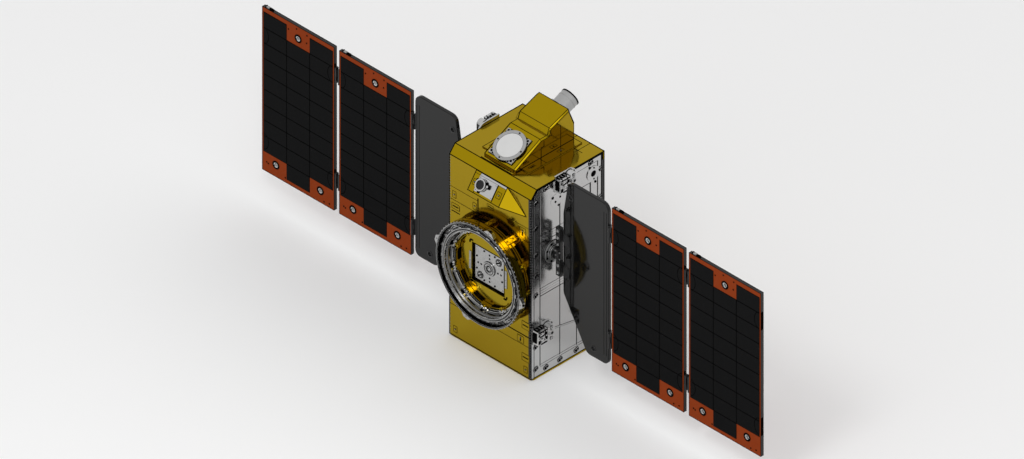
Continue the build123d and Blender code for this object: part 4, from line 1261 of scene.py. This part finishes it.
def panel_plugs():
    """Plug on each panel's upper edge and screw holes by its cups, on the same hand on all panels."""
    for node in ("right_inner", "right_outer", "left_inner", "left_outer"):
        low, high = box_of(node + "_panel")
        kit = Kit(node + "_plug", node)
        y = (low.y + high.y) / 2
        edge = place((low.x + 33, y, high.z), (1, 0, 0), (0, 0, 1))
        kit.block(GREY, edge @ at(-8), (14, 8.6, 7), 1)
        kit.block(BLACK, edge @ at(8), (16, 8, 6), 0.8)
        kit.block(BLACK, edge @ at(-18), (5, 8, 8))
        kit.screws(edge @ at(z=7), ((-12, 0), (-4, 0)), 1.6)
        for (x, z), dots in zip(cup_places(low.x), CUP_DOTS):
            for dot_x, dot_z in dots:
                kit.disc(BLACK, WING_FACE @ at(x + dot_x, z + dot_z), 3.2, 0.8)
        # The outermost edge has free hinge seats
        if node == "right_outer":
            for z in HINGE_ZS:
                seat = place((high.x + 0.3, y, z), (0, 0, 1), (1, 0, 0))
                kit.block(BLACK, seat, (76, high.y - low.y - 0.6, 0.7), 0.2)
        kit.emit()


blanket_edges()
blanket_faces()
housing_seams()
antenna_fittings()
star_tracker_fittings()
sensor_fittings()
ring_mechanism()
drum_fittings()
thruster_fittings()
side_fittings()
port_fittings()
holddown_fittings()
drive_fittings()
root_fittings()
yoke_fittings()
panel_fittings("inner")
panel_fittings("outer")
panel_plugs()


# Stage: pale floor, soft light from all round and from above, camera at the photograph's angle
FLOOR = 0.93
SKY = 0.85
# Half of the floor's width, in metres
FLOOR_REACH = 40


def stage_floor():
    """Wide pale floor."""
    f = Finish("floor", Specular_IOR_Level=0.1, Roughness=0.9)
    f.colour(f.noise(0.7, 2), (FLOOR - 0.01,) * 3, (FLOOR + 0.01,) * 3)
    mesh = bmesh.new()
    bmesh.ops.create_grid(mesh, x_segments=8, y_segments=8, size=FLOOR_REACH)
    floor = new_object("floor", new_mesh("floor", mesh))
    floor.data.materials.append(f.material)


def softbox(name, origin, aim, size, power):
    """Square area lamp that points at a spot."""
    lamp = bpy.data.lights.new(name, "AREA")
    lamp.size = size
    lamp.energy = power
    holder = new_object(name, lamp)
    holder.location = origin
    holder.rotation_euler = (Vector(origin) - Vector(aim)).to_track_quat("Z", "Y").to_euler()


def sky():
    """Even pale light from all round."""
    world = bpy.data.worlds.new("sky")
    world.use_nodes = True
    world.node_tree.nodes["Background"].inputs["Color"].default_value = (SKY, SKY, SKY, 1)
    bpy.context.scene.world = world


VIEW_AZIMUTH = 45
VIEW_ELEVATION = 35.264
VIEW_WIDTH = 3.553
VIEW_TARGET = (0, -0.073, 0.492)
VIEW_DISTANCE = 8


def camera():
    """Camera with parallel rays at the photograph's angle."""
    a = radians(VIEW_AZIMUTH)
    e = radians(VIEW_ELEVATION)
    back = Vector((sin(a) * cos(e), -cos(a) * cos(e), sin(e)))
    data = bpy.data.cameras.new("camera")
    data.type = "ORTHO"
    data.ortho_scale = VIEW_WIDTH
    data.clip_end = 100
    holder = new_object("camera", data)
    holder.location = Vector(VIEW_TARGET) + back * VIEW_DISTANCE
    holder.rotation_euler = back.to_track_quat("Z", "Y").to_euler()
    bpy.context.scene.camera = holder


stage_floor()
sky()
softbox("key", (1.5, -3, 4.5), (0, 0, 0.5), 1.1, 42)
softbox("front", (0.87, -2.55, 1.9), (0, 0, 0.6), 1.2, 3)
softbox("right", (2.33, -0.12, 2.7), (0, 0, 0.82), 0.6, 1.3)
camera()
bpy.context.scene.view_settings.view_transform = "Standard"
